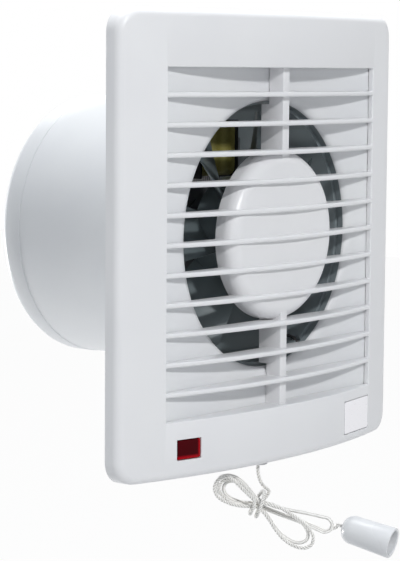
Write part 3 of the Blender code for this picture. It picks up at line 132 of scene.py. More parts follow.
# Lens, badge and cord bush
LENS_X = -50.4 * mm
LENS_Z = -69.9 * mm
LENS_SIZE = (10.2 * mm, 6.6 * mm)
BADGE_X = 48.9 * mm
BADGE_Z = -70.3 * mm
BADGE_SIZE = (21.2 * mm, 12.0 * mm)
CORD_X = -10.0 * mm
CORD_Y = -12.0 * mm
COVER_BOTTOM = -80.0 * mm
CORD_HOLE_RADIUS = 2.6 * mm
LENS_PROUD = 0.1 * mm
LENS_DEPTH = 2.5 * mm
LENS_FOOT = 1.4 * mm
LENS_FOOT_DEPTH = 3.1 * mm
BADGE_TOP = 0.15 * mm
BADGE_FLOOR = 0.7 * mm

# Pull cord
STRAND_RADIUS = 0.33 * mm
STRAND_OFFSET = 0.35 * mm
CORD_LAY = 3.3 * mm
CORD_TOP = -69.3 * mm
HANK_WAIST = Vector((-11.0 * mm, -13.0 * mm, -94.6 * mm))
HANK_WAIST_HALF = 1.0 * mm
HANK_WAIST_TILT = -25.0
HANK_LEFT_TILT = -29.0
HANK_LOW_TILT = -36.0
HANK_HIGH_TILT = -17.5
HANK_STEP = 1.92 * mm
HANK_LEFT_DIRECTION = Vector((-0.8, 0.6, 0.0)).normalized()
HANK_RIGHT_DIRECTION = Vector((0.55, -0.835, 0.0)).normalized()
HANK_DEPTH_DIRECTION = Vector((0.78, 0.62, 0.0)).normalized()
HANK_FIRST_TURN = 0.425
HANK_TIP_SHORT = 0.02
HANK_SPACING = 2.4 * mm
WRAP_STEP = 2.4 * mm
WRAP_HALF_DEPTH = 6.25 * mm
WRAP_HALF_HEIGHT = 4.6 * mm
WRAP_SHIFT = 0.2 * mm
WRAP_FIRST_TURN = 0.2
WRAP_LAST_TURN = 1.79

# Lengths and fatness of the hank's wide lobes, and lengths and half widths of its folds
HANK_LEFT_LOBES = ((17.8 * mm, 0.66), (16.0 * mm, 0.60), (14.2 * mm, 0.58), (17.0 * mm, 0.63))
HANK_LOW_LOBES = ((23.5 * mm, 0.50), (21.4 * mm, 0.48))
HANK_FOLDS = ((27.5 * mm, 2.6 * mm), (28.2 * mm, 2.4 * mm))

# Acorn
ACORN_TOP = Vector((5.6 * mm, -38.2 * mm, -102.3 * mm))
ACORN_AXIS = Vector((0.231, -0.949, -0.215))
ACORN_LENGTH = 19.1 * mm
ACORN_CAP_RADIUS = 5.1 * mm
ACORN_RIM_RADIUS = 5.5 * mm
ACORN_WALL = 1.1 * mm
ACORN_HOLE = 1.0 * mm
ACORN_SHOULDER = 4.2 * mm
ACORN_CROWN = 1.7 * mm
KNOT_INSET = 3.4 * mm
KNOT_RADIUS = 1.5 * mm

# Colours of the casing and of the dark slate painted shade in its bore
PALE_WHITE = (0.79, 0.80, 0.81)
DEEP_WHITE = (0.76, 0.77, 0.79)
SLATE_PAINTED_SHADE = (0.22, 0.255, 0.27)

# Light
AMBIENT_LEVEL = 0.08
AMBIENT_ABOVE = 0.9
AMBIENT_BELOW = 0.55
KEY_POWER = 10.8
OVERHEAD_POWER = 11.0
FILL_POWER = 1.2
RIM_POWER = 5.2
BACK_POWER = 1.0
FLOOR_GREY = 0.56
FLOOR_SEEN = 0.96
FLOOR_Z = -0.32

# Impeller
HUB_RADIUS = 20.0 * mm
HUB_FRONT = -2.0 * mm
HUB_DEPTH = 12.0 * mm
HUB_ROUND = 2.0 * mm
HUB_WALL = 1.6 * mm
HUB_BOSS_RADIUS = 4.0 * mm
HUB_BORE_RADIUS = 2.15 * mm
BLADE_COUNT = 7
BLADE_START_ANGLE = 20.6
BLADE_TIP = 43.3 * mm
BLADE_MIDDLE = 4.5 * mm
BLADE_ROOT_CHORD = 19.0 * mm
BLADE_TIP_CHORD = 27.0 * mm
BLADE_ROOT_PITCH = 43.0
BLADE_TIP_PITCH = 27.0
BLADE_CAMBER = 1.8 * mm
BLADE_THICKNESS = 1.5 * mm

bow_radius = (COVER_HALF ** 2 + COVER_BULGE ** 2) / (2 * COVER_BULGE)
slat_pitch = (2 * WINDOW_HALF_HEIGHT + SLAT_THICKNESS) / (SLAT_COUNT + 1)


# Camera

def place_camera():
    """The photograph's own view, from in front and to the left of the fan."""
    forward = Vector((0.77664, 0.62208, -0.09922))
    right = Vector((0.62574, -0.77999, 0.00770))
    up = right.cross(forward)
    bpy.ops.object.camera_add()
    camera = bpy.context.object
    camera.data.lens = 136.79
    camera.data.sensor_width = 36.0
    turn = Matrix((right, up, -forward)).transposed().to_4x4()
    camera.matrix_world = Matrix.Translation((-0.60455, -0.46130, 0.05853)) @ turn
    bpy.context.scene.camera = camera


# Modelling helpers

def pick(piece):
    """Select one piece alone and make it the active one."""
    bpy.ops.object.select_all(action="DESELECT")
    piece.select_set(True)
    bpy.context.view_layer.objects.active = piece


def settle(piece):
    """Put a piece's place into its mesh, so that its object sits at the origin."""
    pick(piece)
    bpy.ops.object.transform_apply(location=True, rotation=True, scale=True)
    return piece


def edit(piece, kind="FACE"):
    pick(piece)
    bpy.ops.object.mode_set(mode="EDIT")
    bpy.ops.mesh.select_mode(type=kind)
    bpy.ops.mesh.select_all(action="DESELECT")


def leave():
    bpy.ops.object.mode_set(mode="OBJECT")


def bevel_edges(piece, test, width, segments):
    """Bevel the edges whose two ends pass a test."""
    edit(piece, "EDGE")
    leave()
    corners = piece.data.vertices
    for side in piece.data.edges:
        first, second = (corners[index].co for index in side.vertices)
        side.select = test(first, second)
    bpy.ops.object.mode_set(mode="EDIT")
    bpy.ops.mesh.bevel(offset=width, segments=segments, affect="EDGES")
    leave()
    return piece


def face_outwards():
    """Turn every face of the mesh in edit mode outwards."""
    bpy.ops.mesh.select_all(action="SELECT")
    bpy.ops.mesh.normals_make_consistent(inside=False)


def block(name, low, high):
    """A box between two corners."""
    low, high = Vector(low), Vector(high)
    bpy.ops.mesh.primitive_cube_add(size=1.0, location=(low + high) / 2)
    piece = bpy.context.object
    piece.name = name
    piece.scale = high - low
    return settle(piece)


def turned(name, profile, sides=ROUND_SIDES, middle=(0.0, 0.0)):
    """A round solid along Y, grown ring by ring from a disc through (radius, y) points."""
    radius, depth = profile[0]
    place = (middle[0], depth, middle[1])
    bpy.ops.mesh.primitive_circle_add(
        vertices=sides, radius=radius, fill_type="NGON", location=place, rotation=(math.pi / 2, 0.0, 0.0))
    piece = bpy.context.object
    piece.name = name
    settle(piece)
    edit(piece)
    bpy.ops.mesh.select_all(action="SELECT")
    for (before, start), (after, end) in zip(profile, profile[1:]):
        bpy.ops.mesh.extrude_region_move(TRANSFORM_OT_translate={"value": (0.0, end - start, 0.0)})
        share = after / before
        bpy.ops.transform.resize(value=(share, 1.0, share), center_override=(middle[0], end, middle[1]))
    face_outwards()
    leave()
    return piece


def post(name, radius, start, end, sides=ROUND_SIDES, middle=(0.0, 0.0)):
    """A plain cylinder along Y."""
    return turned(name, [(radius, start), (radius, end)], sides, middle)


def four_corners(half_width, half_height, middle_z):
    """The (x, z) places of a rectangle's corners."""
    return [(side * half_width, middle_z + end * half_height) for side in (-1, 1) for end in (-1, 1)]


def modify(piece, kind, **settings):
    """Add one modifier and apply it."""
    pick(piece)
    modifier = piece.modifiers.new(kind.lower(), kind)
    for key, value in settings.items():
        setattr(modifier, key, value)
    bpy.ops.object.modifier_apply(modifier=modifier.name)
    return piece


def combine(piece, tool, operation):
    modify(piece, "BOOLEAN", object=tool, operation=operation, solver="EXACT")
    bpy.data.objects.remove(tool)
    return piece


def cut(piece, tool):
    return combine(piece, tool, "DIFFERENCE")


def join(piece, tool):
    return combine(piece, tool, "UNION")


def round_corners(piece, radius, segments):
    """Round a box's four edges that run along Y."""
    return bevel_edges(piece, lambda a, b: abs(a.x - b.x) < SAME and abs(a.z - b.z) < SAME, radius, segments)


def slice_along_x(piece, half, step):
    """Cut a piece into strips, so that it can be bowed."""
    edit(piece)
    count = round(2 * half / step)
    for number in range(1, count):
        bpy.ops.mesh.select_all(action="SELECT")
        place = (-half + 2 * half * number / count, 0.0, 0.0)
        bpy.ops.mesh.bisect(plane_co=place, plane_no=(1.0, 0.0, 0.0))
    leave()


def bow(x):
    """How far the cover's front stands out at this x, beyond its left and right edges."""
    return COVER_BULGE - bow_radius + math.sqrt(bow_radius ** 2 - x ** 2)


def bow_front(piece, behind):
    """Push everything in front of a depth out by the cover's bow."""
    for corner in piece.data.vertices:
        if corner.co.y < -behind:
            corner.co.y -= bow(corner.co.x)
    piece.data.update()
    return piece


def arc(middle, radius, start, end, steps):
    points = []
    for step in range(steps + 1):
        angle = math.radians(start + (end - start) * step / steps)
        points.append((middle[0] + radius * math.cos(angle), middle[1] + radius * math.sin(angle)))
    return points


def smooth(piece, angle):
    pick(piece)
    bpy.ops.object.shade_smooth_by_angle(angle=math.radians(angle))
    return piece


def dress(piece, name, body, material, nodes):
    """Name a finished piece, give it its finish, and set it on its body in place of CAD nodes."""
    piece.name = name
    piece.data.materials.clear()
    piece.data.materials.append(material)
    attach(piece, body)
    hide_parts(*nodes)
    return piece


# Pull cord route

def blend(share):
    clamped = min(1.0, max(0.0, share))
    return clamped * clamped * (3 - 2 * clamped)


def hank_place(along, across, depth, tilt):
    """Place of a point of the hank: along and across its run, and in depth."""
    side = HANK_RIGHT_DIRECTION if along > 0 else HANK_LEFT_DIRECTION
    level = abs(along) * math.cos(tilt) - across * math.sin(tilt) * (1 if along > 0 else -1)
    height = across * math.cos(tilt) + along * math.sin(tilt)
    return HANK_WAIST + side * level + HANK_DEPTH_DIRECTION * depth + Vector((0.0, 0.0, height))


def wide_lobe(length, fatness, cosine, sine):
    """A drop-shaped lobe, narrow at the waist."""
    along = cosine * math.hypot(length * cosine, HANK_WAIST_HALF * sine)
    across = sine * math.hypot(fatness * length * cosine ** 2, HANK_WAIST_HALF)
    return along, across


def long_fold(length, half_width, cosine, sine):
    """Two runs side by side with a round end, that close up towards the waist."""
    bend = math.pi / 2 * min(1.0, 2 * abs(sine))
    past = max(0.0, 2 * abs(sine) - 1.0)
    run = (length - half_width * (1 - math.cos(bend))) * (1 - past)
    along = cosine * math.hypot(run / max(abs(cosine), 1e-6), HANK_WAIST_HALF * sine)
    across = math.hypot(half_width * math.sin(bend) * (1 - past), HANK_WAIST_HALF * sine)
    return along, math.copysign(across, sine)


def hank_point(turns):
    """The hank's centre line; turns counts loops from the right-hand tip."""
    loop = math.floor(turns)
    angle = 2 * math.pi * (turns - loop)
    cosine = math.cos(angle)
    sine = math.sin(angle)
    right = math.floor(turns - 0.5)
    if cosine < 0:
        tilt = HANK_LEFT_TILT
        along, across = wide_lobe(*HANK_LEFT_LOBES[loop], cosine, sine)
    elif right < len(HANK_LOW_LOBES):
        tilt = HANK_LOW_TILT
        along, across = wide_lobe(*HANK_LOW_LOBES[right], cosine, sine)
    else:
        tilt = HANK_HIGH_TILT
        along, across = long_fold(*HANK_FOLDS[right - len(HANK_LOW_LOBES)], cosine, sine)
    climbed = loop + blend(((turns - loop) * 360.0 - 140.0) / 80.0)
    depth = (climbed - (len(HANK_LEFT_LOBES) + 1) / 2) * HANK_STEP
    lean = HANK_WAIST_TILT + (tilt - HANK_WAIST_TILT) * blend((abs(cosine) - 0.3) / 0.5)
    return hank_place(along, across, depth, math.radians(lean))


def wrap_point(turns):
    """The turns round the hank's waist, from the right-hand one to the left-hand one."""
    level_axis = (HANK_RIGHT_DIRECTION - HANK_LEFT_DIRECTION).normalized()
    upright = level_axis.cross(HANK_DEPTH_DIRECTION).normalized()
    if upright.z < 0:
        upright = -upright
    lean = math.radians(HANK_WAIST_TILT)
    axis = level_axis * math.cos(lean) + upright * math.sin(lean)
    upward = upright * math.cos(lean) - level_axis * math.sin(lean)
    angle = 2 * math.pi * turns
    along = (1.0 - turns) * WRAP_STEP + WRAP_SHIFT
    depth = WRAP_HALF_DEPTH * math.sin(angle)
    height = WRAP_HALF_HEIGHT * math.cos(angle)
    return HANK_WAIST + axis * along + HANK_DEPTH_DIRECTION * depth + upward * height


def hank_points():
    """The turns round the waist, then the loops, out to the right-hand tip."""
    wraps = 40
    wrapped = WRAP_LAST_TURN - WRAP_FIRST_TURN
    points = [wrap_point(WRAP_FIRST_TURN + wrapped * step / wraps) for step in range(wraps + 1)]
    span = len(HANK_LEFT_LOBES) - HANK_TIP_SHORT - HANK_FIRST_TURN
    steps = round(span * 72)
    points += [hank_point(HANK_FIRST_TURN + span * step / steps) for step in range(steps + 1)]
    return even_points(points, HANK_SPACING)


def knot_middle():
    """Where the knot lies on the low side inside the acorn's open end."""
    axis = ACORN_AXIS.normalized()
    down = Vector((0.0, 0.0, -1.0))
    sag = (down - axis * down.dot(axis)).normalized()
    inside = ACORN_CAP_RADIUS - ACORN_WALL - KNOT_RADIUS - 0.3 * mm
    return ACORN_TOP + axis * (ACORN_LENGTH - KNOT_INSET) + sag * inside


def cord_route():
    """The whole cord from the switch's knot, through the bush and the hank, into the acorn."""
    axis = ACORN_AXIS.normalized()
    hank = hank_points()
    knot = knot_middle()
    sag = (knot - ACORN_TOP - axis * (ACORN_LENGTH - KNOT_INSET)).normalized()
    upper = [(CORD_X, CORD_Y, CORD_TOP), (CORD_X, CORD_Y, -74.0 * mm), (CORD_X, CORD_Y, -78.0 * mm),
             (CORD_X, CORD_Y, -80.9 * mm), (CORD_X, CORD_Y, -83.3 * mm), (-9.2 * mm, -12.1 * mm, -86.2 * mm),
             (-7.4 * mm, -12.5 * mm, -89.0 * mm), hank[0] + (hank[0] - hank[1]).normalized() * 3 * mm]
    leaving = (hank[-1] - hank[-2]).normalized()
    lower = [hank[-1] + leaving * 1.5 * mm, ACORN_TOP - axis * 2 * mm, ACORN_TOP + axis * mm,
             ACORN_TOP + axis * 4 * mm, ACORN_TOP + axis * 8 * mm + sag * 1.2 * mm, knot - axis * mm, knot]
    return even_points(smooth_line([Vector(point) for point in upper] + hank + lower), 0.3 * mm)


def smooth_line(route):
    """Closely spaced points on a smooth curve through a route's own points."""
    route = [2 * route[0] - route[1]] + route + [2 * route[-1] - route[-2]]
    fine = []
    for before, start, end, after in zip(route, route[1:], route[2:], route[3:]):
        steps = 16
        for step in range(steps):
            t = step / steps
            bend = 2 * before - 5 * start + 4 * end - after
            twist = 3 * start - before - 3 * end + after
            fine.append(0.5 * (2 * start + (end - before) * t + bend * t * t + twist * t * t * t))
    fine.append(route[-2])
    return fine


def even_points(fine, spacing):
    """The same line, with its points a steady distance apart."""
    length = sum((b - a).length for a, b in zip(fine, fine[1:]))
    count = round(length / spacing)
    points = [fine[0].copy()]
    walked = 0.0
    for first, second in zip(fine, fine[1:]):
        run = (second - first).length
        while run > 0 and len(points) < count and walked + run >= length * len(points) / count:
            points.append(first.lerp(second, (length * len(points) / count - walked) / run))
        walked += run
    points.append(fine[-1].copy())
    return points


# Front cover

def cover_block(name, inset, rear):
    """A rounded square with a rounded front edge, bowed along x, set in from the cover's outside."""
    half = COVER_HALF - inset
    rounding = COVER_ROUND - inset / 2
    front = COVER_EDGE_DEPTH - inset - rounding
    piece = block(name, (-half, -front, -half - COVER_DROP), (half, -rear, half - COVER_DROP))
    round_corners(piece, COVER_CORNER - inset, 12)
    edit(piece)
    leave()
    for face in piece.data.polygons:
        face.select = face.normal.y < -0.9
    bpy.ops.object.mode_set(mode="EDIT")
    steps = 6
    for step in range(steps):
        start, end = (math.pi / 2 * (step + share) / steps for share in (0, 1))
        inward = rounding * (math.cos(start) - math.cos(end))
        outward = rounding * (math.sin(end) - math.sin(start))
        bpy.ops.mesh.inset(thickness=inward, depth=outward, use_even_offset=False)
    leave()
    slice_along_x(piece, COVER_HALF, BOW_STEP)
    return bow_front(piece, front / 2)


def window_box(name, margin, near, far):
    half_width = WINDOW_HALF_WIDTH + margin
    half_height = WINDOW_HALF_HEIGHT + margin
    low = (-half_width, -far, WINDOW_Z - half_height)
    return block(name, low, (half_width, -near, WINDOW_Z + half_height))


def on_window_rim(point):
    """True for a point on the rim of the window, at the cover's front."""
    past_side = abs(point.x) - WINDOW_HALF_WIDTH
    past_end = abs(point.z - WINDOW_Z) - WINDOW_HALF_HEIGHT
    return abs(max(past_side, past_end)) < 10 * SAME and point.y < -GRILLE_REAR - mm


def frame_shell():
    """The cover's shell with the open window and its short inner walls."""
    shell = cover_block("shell", 0.0, COVER_REAR)
    hollow = cover_block("hollow", COVER_WALL, -5.0 * mm)
    cut(hollow, window_box("walls", WINDOW_WALL, GRILLE_REAR, FAR))
    cut(shell, hollow)
    cut(shell, window_box("window", 0.0, -FAR, FAR))
    return bevel_edges(shell, lambda a, b: on_window_rim(a) and on_window_rim(b), WINDOW_EDGE, 3)


def slat(number):
    """One louvre blade with a rounded front edge, bowed with the cover."""
    top = WINDOW_Z + WINDOW_HALF_HEIGHT - (number + 1) * slat_pitch + SLAT_THICKNESS
    half = WINDOW_HALF_WIDTH + OVERLAP
    low = (-half, -COVER_EDGE_DEPTH, top - SLAT_THICKNESS)
    piece = block("slat", low, (half, -COVER_EDGE_DEPTH / 2, top))
    front = SAME - COVER_EDGE_DEPTH
    bevel_edges(piece, lambda a, b: max(a.y, b.y) < front and abs(a.z - b.z) < SAME, SLAT_EDGE, 3)
    slice_along_x(piece, half, BOW_STEP)
    bow_front(piece, COVER_EDGE_DEPTH * 0.75)
    for corner in piece.data.vertices:
        if corner.co.y > -COVER_EDGE_DEPTH * 0.75:
            corner.co.y = -GRILLE_REAR
    return piece


def rib():
    """The upright behind the slats, deeper across the inlet."""
    top = WINDOW_Z + WINDOW_HALF_HEIGHT + OVERLAP
    bottom = WINDOW_Z - WINDOW_HALF_HEIGHT - OVERLAP
    upright = block("rib", (-RIB_HALF, -RIB_FRONT, bottom), (RIB_HALF, -GRILLE_REAR, top))
    low = (-RIB_HALF, -GRILLE_REAR - mm, -RIB_HALF_REACH)
    join(upright, block("web", low, (RIB_HALF, -RIB_REAR, RIB_HALF_REACH)))
    front = SAME - RIB_FRONT
    return bevel_edges(upright, lambda a, b: max(a.y, b.y) < front and abs(a.x - b.x) < SAME, RIB_EDGE, 3)


def dome():
    """The hollow round cap in the middle of the window."""
    shoulder = (DOME_RADIUS - DOME_ROUND, DOME_ROUND - DOME_FRONT)
    outside = arc(shoulder, DOME_ROUND, -90.0, 0.0, 12) + [(DOME_RADIUS, -DOME_REAR)]
    inside = arc(shoulder, DOME_ROUND - DOME_WALL, -90.0, 0.0, 8) + [(DOME_RADIUS - DOME_WALL, 0.0)]
    return cut(turned("dome", outside), turned("hollow", inside))


def surface_tool(name, x, z, size, near, far):
    """A box square to the cover's bowed front, from one depth under the surface to another."""
    piece = block(name, (-size[0] / 2, near, -size[1] / 2), (size[0] / 2, far, size[1] / 2))
    slope = Matrix.Rotation(math.asin(x / bow_radius), 4, "Z")
    piece.data.transform(Matrix.Translation((x, -COVER_EDGE_DEPTH - bow(x), z)) @ slope)
    return piece


def grown(size, gap):
    return (size[0] + 2 * gap, size[1] + 2 * gap)


def front_cover(material):
    cover = frame_shell()
    for number in range(SLAT_COUNT):
        join(cover, slat(number))
    join(cover, rib())
    join(cover, dome())
    cut(cover, surface_tool("lens_hole", LENS_X, LENS_Z, grown(LENS_SIZE, FIT_GAP), -5 * mm, 5 * mm))
    cut(cover, surface_tool("pocket", BADGE_X, BADGE_Z, grown(BADGE_SIZE, FIT_GAP), -5 * mm, mm))
    bpy.ops.mesh.primitive_cylinder_add(
        vertices=48, radius=CORD_HOLE_RADIUS, depth=8 * mm, location=(CORD_X, CORD_Y, COVER_BOTTOM))
    cut(cover, settle(bpy.context.object))
    smooth(cover, SMOOTH_ANGLE)
    return dress(cover, "louvred_cover", "fan_body", material, ["front_cover"])


# Inlet wall and duct

def inlet_wall(material):
    """The flat wall behind the slats, with its bell mouth, collar and legs."""
    half_width = WINDOW_HALF_WIDTH + 0.3 * mm
    half_height = WINDOW_HALF_HEIGHT + 2.0 * mm
    low = (-half_width, -PLATE_FRONT, WINDOW_Z - half_height)
    high = (half_width, PLATE_THICKNESS - PLATE_FRONT, WINDOW_Z + half_height)
    wall = round_corners(block("wall", low, high), PLATE_CORNER, 6)
    join(wall, post("collar", BELL_RADIUS + BELL_WALL, mm - PLATE_FRONT, -BELL_REAR))
    for x, z in four_corners(half_width - LEG_INSET, half_height - LEG_INSET, WINDOW_Z):
        join(wall, post("leg", LEG_RADIUS, mm - PLATE_FRONT, -LEG_REAR, 32, (x, z)))
    mouth = [(BELL_RADIUS + BELL_LIP_REACH, -PLATE_FRONT - mm)]
    for step in range(13):
        angle = math.pi / 2 * step / 12
        reach = BELL_LIP_REACH * (1 - math.sin(angle))
        mouth.append((BELL_RADIUS + reach, BELL_LIP_DEPTH * (1 - math.cos(angle)) - PLATE_FRONT))
    cut(wall, turned("mouth", mouth + [(BELL_RADIUS, 0.0)]))
    smooth(wall, SMOOTH_ANGLE)
    return dress(wall, "inlet_wall", "fan_body", material, ["inlet_plate"])


def duct_body(material):
    """The square flange at the wall with the round spigot."""
    low = (-FLANGE_HALF, -FLANGE_THICKNESS, -FLANGE_HALF - COVER_DROP)
    high = (FLANGE_HALF, 0.0, FLANGE_HALF - COVER_DROP)
    body = round_corners(block("flange", low, high), FLANGE_CORNER, 8)
    join(body, post("spigot", DUCT_RADIUS, -DUCT_FRONT, DUCT_LENGTH))
    cut(body, post("bore", DUCT_BORE, -FAR, FAR))
    for place in four_corners(SCREW_HOLE_PLACE, SCREW_HOLE_PLACE, -COVER_DROP):
        cut(body, post("screw_hole", SCREW_HOLE_RADIUS, -FAR, FAR, 32, place))
    cut(body, post("cable_hole", CABLE_HOLE_RADIUS, -FAR, FAR, 48, (CABLE_HOLE_X, LENS_Z)))
    notch = block("notch", NOTCH_LOW, NOTCH_HIGH)
    notch.data.transform(Matrix.Rotation(math.radians(NOTCH_ANGLE), 4, "Y"))
    cut(body, notch)
    smooth(body, SMOOTH_ANGLE)
    return dress(body, "duct_body", "fan_body", material, ["duct_casing"])


def end_ring(material):
    """The rounded ring on the spigot's end, with its sleeve in the bore."""
    corner = (RING_RADIUS - RING_ROUND, RING_REAR - RING_ROUND)
    front = (RING_RADIUS - RING_EDGE, RING_FRONT + RING_EDGE)
    outside = [(SLEEVE_RADIUS, SLEEVE_FRONT), (SLEEVE_RADIUS, RING_FRONT), (front[0], RING_FRONT)]
    outside += arc(front, RING_EDGE, 270.0, 360.0, 4)
    outside += arc(corner, RING_ROUND, 0.0, 90.0, 12)
    ring = turned("ring", outside)
    lip = arc((RING_BORE + RING_LIP, RING_REAR - RING_LIP), RING_LIP, 180.0, 90.0, 5)
    inside = [(SLEEVE_BORE, SLEEVE_FRONT - mm), (SLEEVE_BORE, SLEEVE_FRONT)] + lip
    inside += [(RING_BORE + RING_LIP, RING_REAR + mm)]
    cut(ring, turned("opening", inside))
    smooth(ring, SMOOTH_ANGLE)
    return dress(ring, "end_ring", "fan_body", material, ["outlet_ring"])


# Cord and pull

def strand_outline():
    """The cord's cross-section: three round strands that touch in the middle."""
    count = 21
    corners = []
    for number in range(count):
        angle = 2 * math.pi * number / count
        lobe = round(angle / (2 * math.pi / 3)) * 2 * math.pi / 3
        turned_by = angle - lobe
        reach = STRAND_OFFSET * math.cos(turned_by)
        reach += math.sqrt(max(0.0, STRAND_RADIUS ** 2 - (STRAND_OFFSET * math.sin(turned_by)) ** 2))
        corners.append((reach * math.cos(angle), reach * math.sin(angle), 0.0))
    shape = bpy.data.curves.new("strands", "CURVE")
    shape.dimensions = "2D"
    line = shape.splines.new("POLY")
    line.points.add(count - 1)
    for point, corner in zip(line.points, corners):
        point.co = (*corner, 1.0)
    line.use_cyclic_u = True
    outline = bpy.data.objects.new("strands", shape)
    bpy.context.collection.objects.link(outline)
    return outline


def mark_grooves(cord, points):
    """Store how near each point of a cord lies to the grooves between its strands, for the painted shade in
    the grooves.
    """
    tree = KDTree(len(points))
    for number, point in enumerate(points):
        tree.insert(point, number)
    tree.balance()
    shares = []
    for corner in cord.data.vertices:
        away = tree.find(corner.co)[2]
        shares.append(min(1.0, max(0.0, (STRAND_OFFSET + STRAND_RADIUS - away) / STRAND_OFFSET)))
    cord.data.attributes.new("groove", "FLOAT", "POINT").data.foreach_set("value", shares)


def twisted_cord(name, points):
    """A three-strand cord along a line, its strands wound round each other."""
    outline = strand_outline()
    shape = bpy.data.curves.new(name, "CURVE")
    shape.dimensions = "3D"
    shape.twist_mode = "MINIMUM"
    shape.bevel_mode = "OBJECT"
    shape.bevel_object = outline
    shape.use_fill_caps = True
    line = shape.splines.new("POLY")
    line.points.add(len(points) - 1)
    walked = 0.0
    for number, point in enumerate(points):
        if number:
            walked += (point - points[number - 1]).length
        line.points[number].co = (*point, 1.0)
        line.points[number].tilt = 2 * math.pi * walked / CORD_LAY
    cord = bpy.data.objects.new(name, shape)
    bpy.context.collection.objects.link(cord)
    pick(cord)
    bpy.ops.object.convert(target="MESH")
    cord = bpy.context.object
    bpy.data.objects.remove(outline)
    mark_grooves(cord, points)
    return smooth(cord, 60.0)


def tied_knot(name, middle, axis, size):
    """A small overhand knot: a cord laid along a trefoil."""
    steps = 90
    line = []
    turn = Vector((0.0, 0.0, 1.0)).rotation_difference(axis)
    for step in range(steps):
        angle = 2 * math.pi * step / steps
        x = math.sin(angle) + 2 * math.sin(2 * angle)
        y = math.cos(angle) - 2 * math.cos(2 * angle)
        z = -math.sin(3 * angle) * 1.3
        line.append(middle + turn @ Vector((x, y, z)) * size)
    line.append(line[0].copy())
    return twisted_cord(name, even_points(line, 0.25 * mm))


def acorn(material):
    """The bell-shaped pull, turned about its own axis, with a hole for the cord."""
    outside = [(ACORN_HOLE, 0.0)]
    for step in range(1, 17):
        angle = math.pi / 2 * step / 16
        out = ACORN_HOLE + (ACORN_CAP_RADIUS - ACORN_HOLE) * math.sin(angle)
        outside.append((out, ACORN_SHOULDER * (1 - math.cos(angle))))
    lip = 0.3 * mm
    outside += [(ACORN_RIM_RADIUS - lip * back, ACORN_LENGTH - lip * short)
                for back, short in ((0.0, 1.0), (0.3, 0.3), (1.0, 0.0))]
    pull = turned("acorn", outside, 96)
    inner = ACORN_CAP_RADIUS - ACORN_WALL
    inside = [(ACORN_HOLE, -mm), (ACORN_HOLE, ACORN_CROWN)]
    for step in range(1, 11):
        angle = math.pi / 2 * step / 10
        out = ACORN_HOLE + (inner - ACORN_HOLE) * math.sin(angle)
        inside.append((out, ACORN_CROWN + (ACORN_SHOULDER - ACORN_CROWN) * (1 - math.cos(angle))))
    rim = ACORN_RIM_RADIUS - ACORN_WALL
    inside += [(rim, ACORN_LENGTH - lip), (rim + lip, ACORN_LENGTH), (rim + lip, ACORN_LENGTH + mm)]
    cut(pull, turned("hollow", inside, 96))
    turn = Vector((0.0, 1.0, 0.0)).rotation_difference(ACORN_AXIS.normalized()).to_matrix().to_4x4()
    pull.data.transform(Matrix.Translation(ACORN_TOP) @ turn)
    smooth(pull, 35.0)
    return dress(pull, "acorn_pull", "pull_cord", material, ["pull_acorn"])


def pull_cord(cord_finish, acorn_finish):
    points = cord_route()
    cord = twisted_cord("cord", points)
    dress(cord, "white_cord", "pull_cord", cord_finish,
          ["inner_cord", "cord_stretch", "cord_hank", "cord_tail"])
    upper_middle = Vector((CORD_X, CORD_Y, CORD_TOP + 1.5 * mm))
    upper = tied_knot("upper", upper_middle, Vector((0.0, 0.0, 1.0)), 0.32 * mm)
    dress(upper, "upper_knot", "pull_cord", cord_finish, ["stop_knot"])
    lower = tied_knot("lower", knot_middle(), ACORN_AXIS.normalized(), 0.36 * mm)
    dress(lower, "lower_knot", "pull_cord", cord_finish, ["end_knot"])
    pull = acorn(acorn_finish)
    return cord


# Lens, badge and cord bush

def rounded_pad(name, x, z, size, near, far, corner, edge):
    """A small plate square to the cover's surface, its outline and front edge rounded."""
    piece = block(name, (-size[0] / 2, near, -size[1] / 2), (size[0] / 2, far, size[1] / 2))
    round_corners(piece, corner, 5)
    bevel_edges(piece, lambda a, b: max(a.y, b.y) < near + SAME, edge, 4)
    slope = Matrix.Rotation(math.asin(x / bow_radius), 4, "Z")
    piece.data.transform(Matrix.Translation((x, -COVER_EDGE_DEPTH - bow(x), z)) @ slope)
    return piece


def lens(material):
    body = rounded_pad("lens", LENS_X, LENS_Z, LENS_SIZE, -LENS_PROUD, LENS_DEPTH, 0.7 * mm, 0.6 * mm)
    foot_size = grown(LENS_SIZE, LENS_FOOT)
    foot_near = LENS_DEPTH - 0.2 * mm
    foot = rounded_pad("foot", LENS_X, LENS_Z, foot_size, foot_near, LENS_FOOT_DEPTH, 0.8 * mm, 0.2 * mm)
    join(body, foot)
    smooth(body, 40.0)
    return dress(body, "red_lens", "fan_body", material, ["indicator_lens"])


def badge(material):
    """The bare plate in its pocket."""
    plate = rounded_pad("badge", BADGE_X, BADGE_Z, BADGE_SIZE, BADGE_TOP, BADGE_FLOOR, 0.8 * mm, 0.12 * mm)
    smooth(plate, 40.0)
    return dress(plate, "bare_badge", "fan_body", material, ["badge_plate"])


def cord_bush(material):
    """The flanged bush in the cover's underside, turned along Y and stood upright."""
    outside = [(2.3, 78.0), (2.3, 80.3), (3.2, 80.3), (3.4, 80.4), (3.4, 80.6), (3.1, 80.8)]
    inside = [(1.1, 77.0), (1.1, 80.5), (1.2, 80.7), (1.8, 80.9)]
    bush, hole = (turned("bush", [(radius * mm, depth * mm) for radius, depth in profile], 64)
                  for profile in (outside, inside))
    cut(bush, hole)
    upright = Matrix.Rotation(-math.pi / 2, 4, "X")
    bush.data.transform(Matrix.Translation((CORD_X, CORD_Y, 0.0)) @ upright)
    smooth(bush, 40.0)
    return dress(bush, "cord_bush", "fan_body", material, ["cord_guide"])


# Impeller and coil

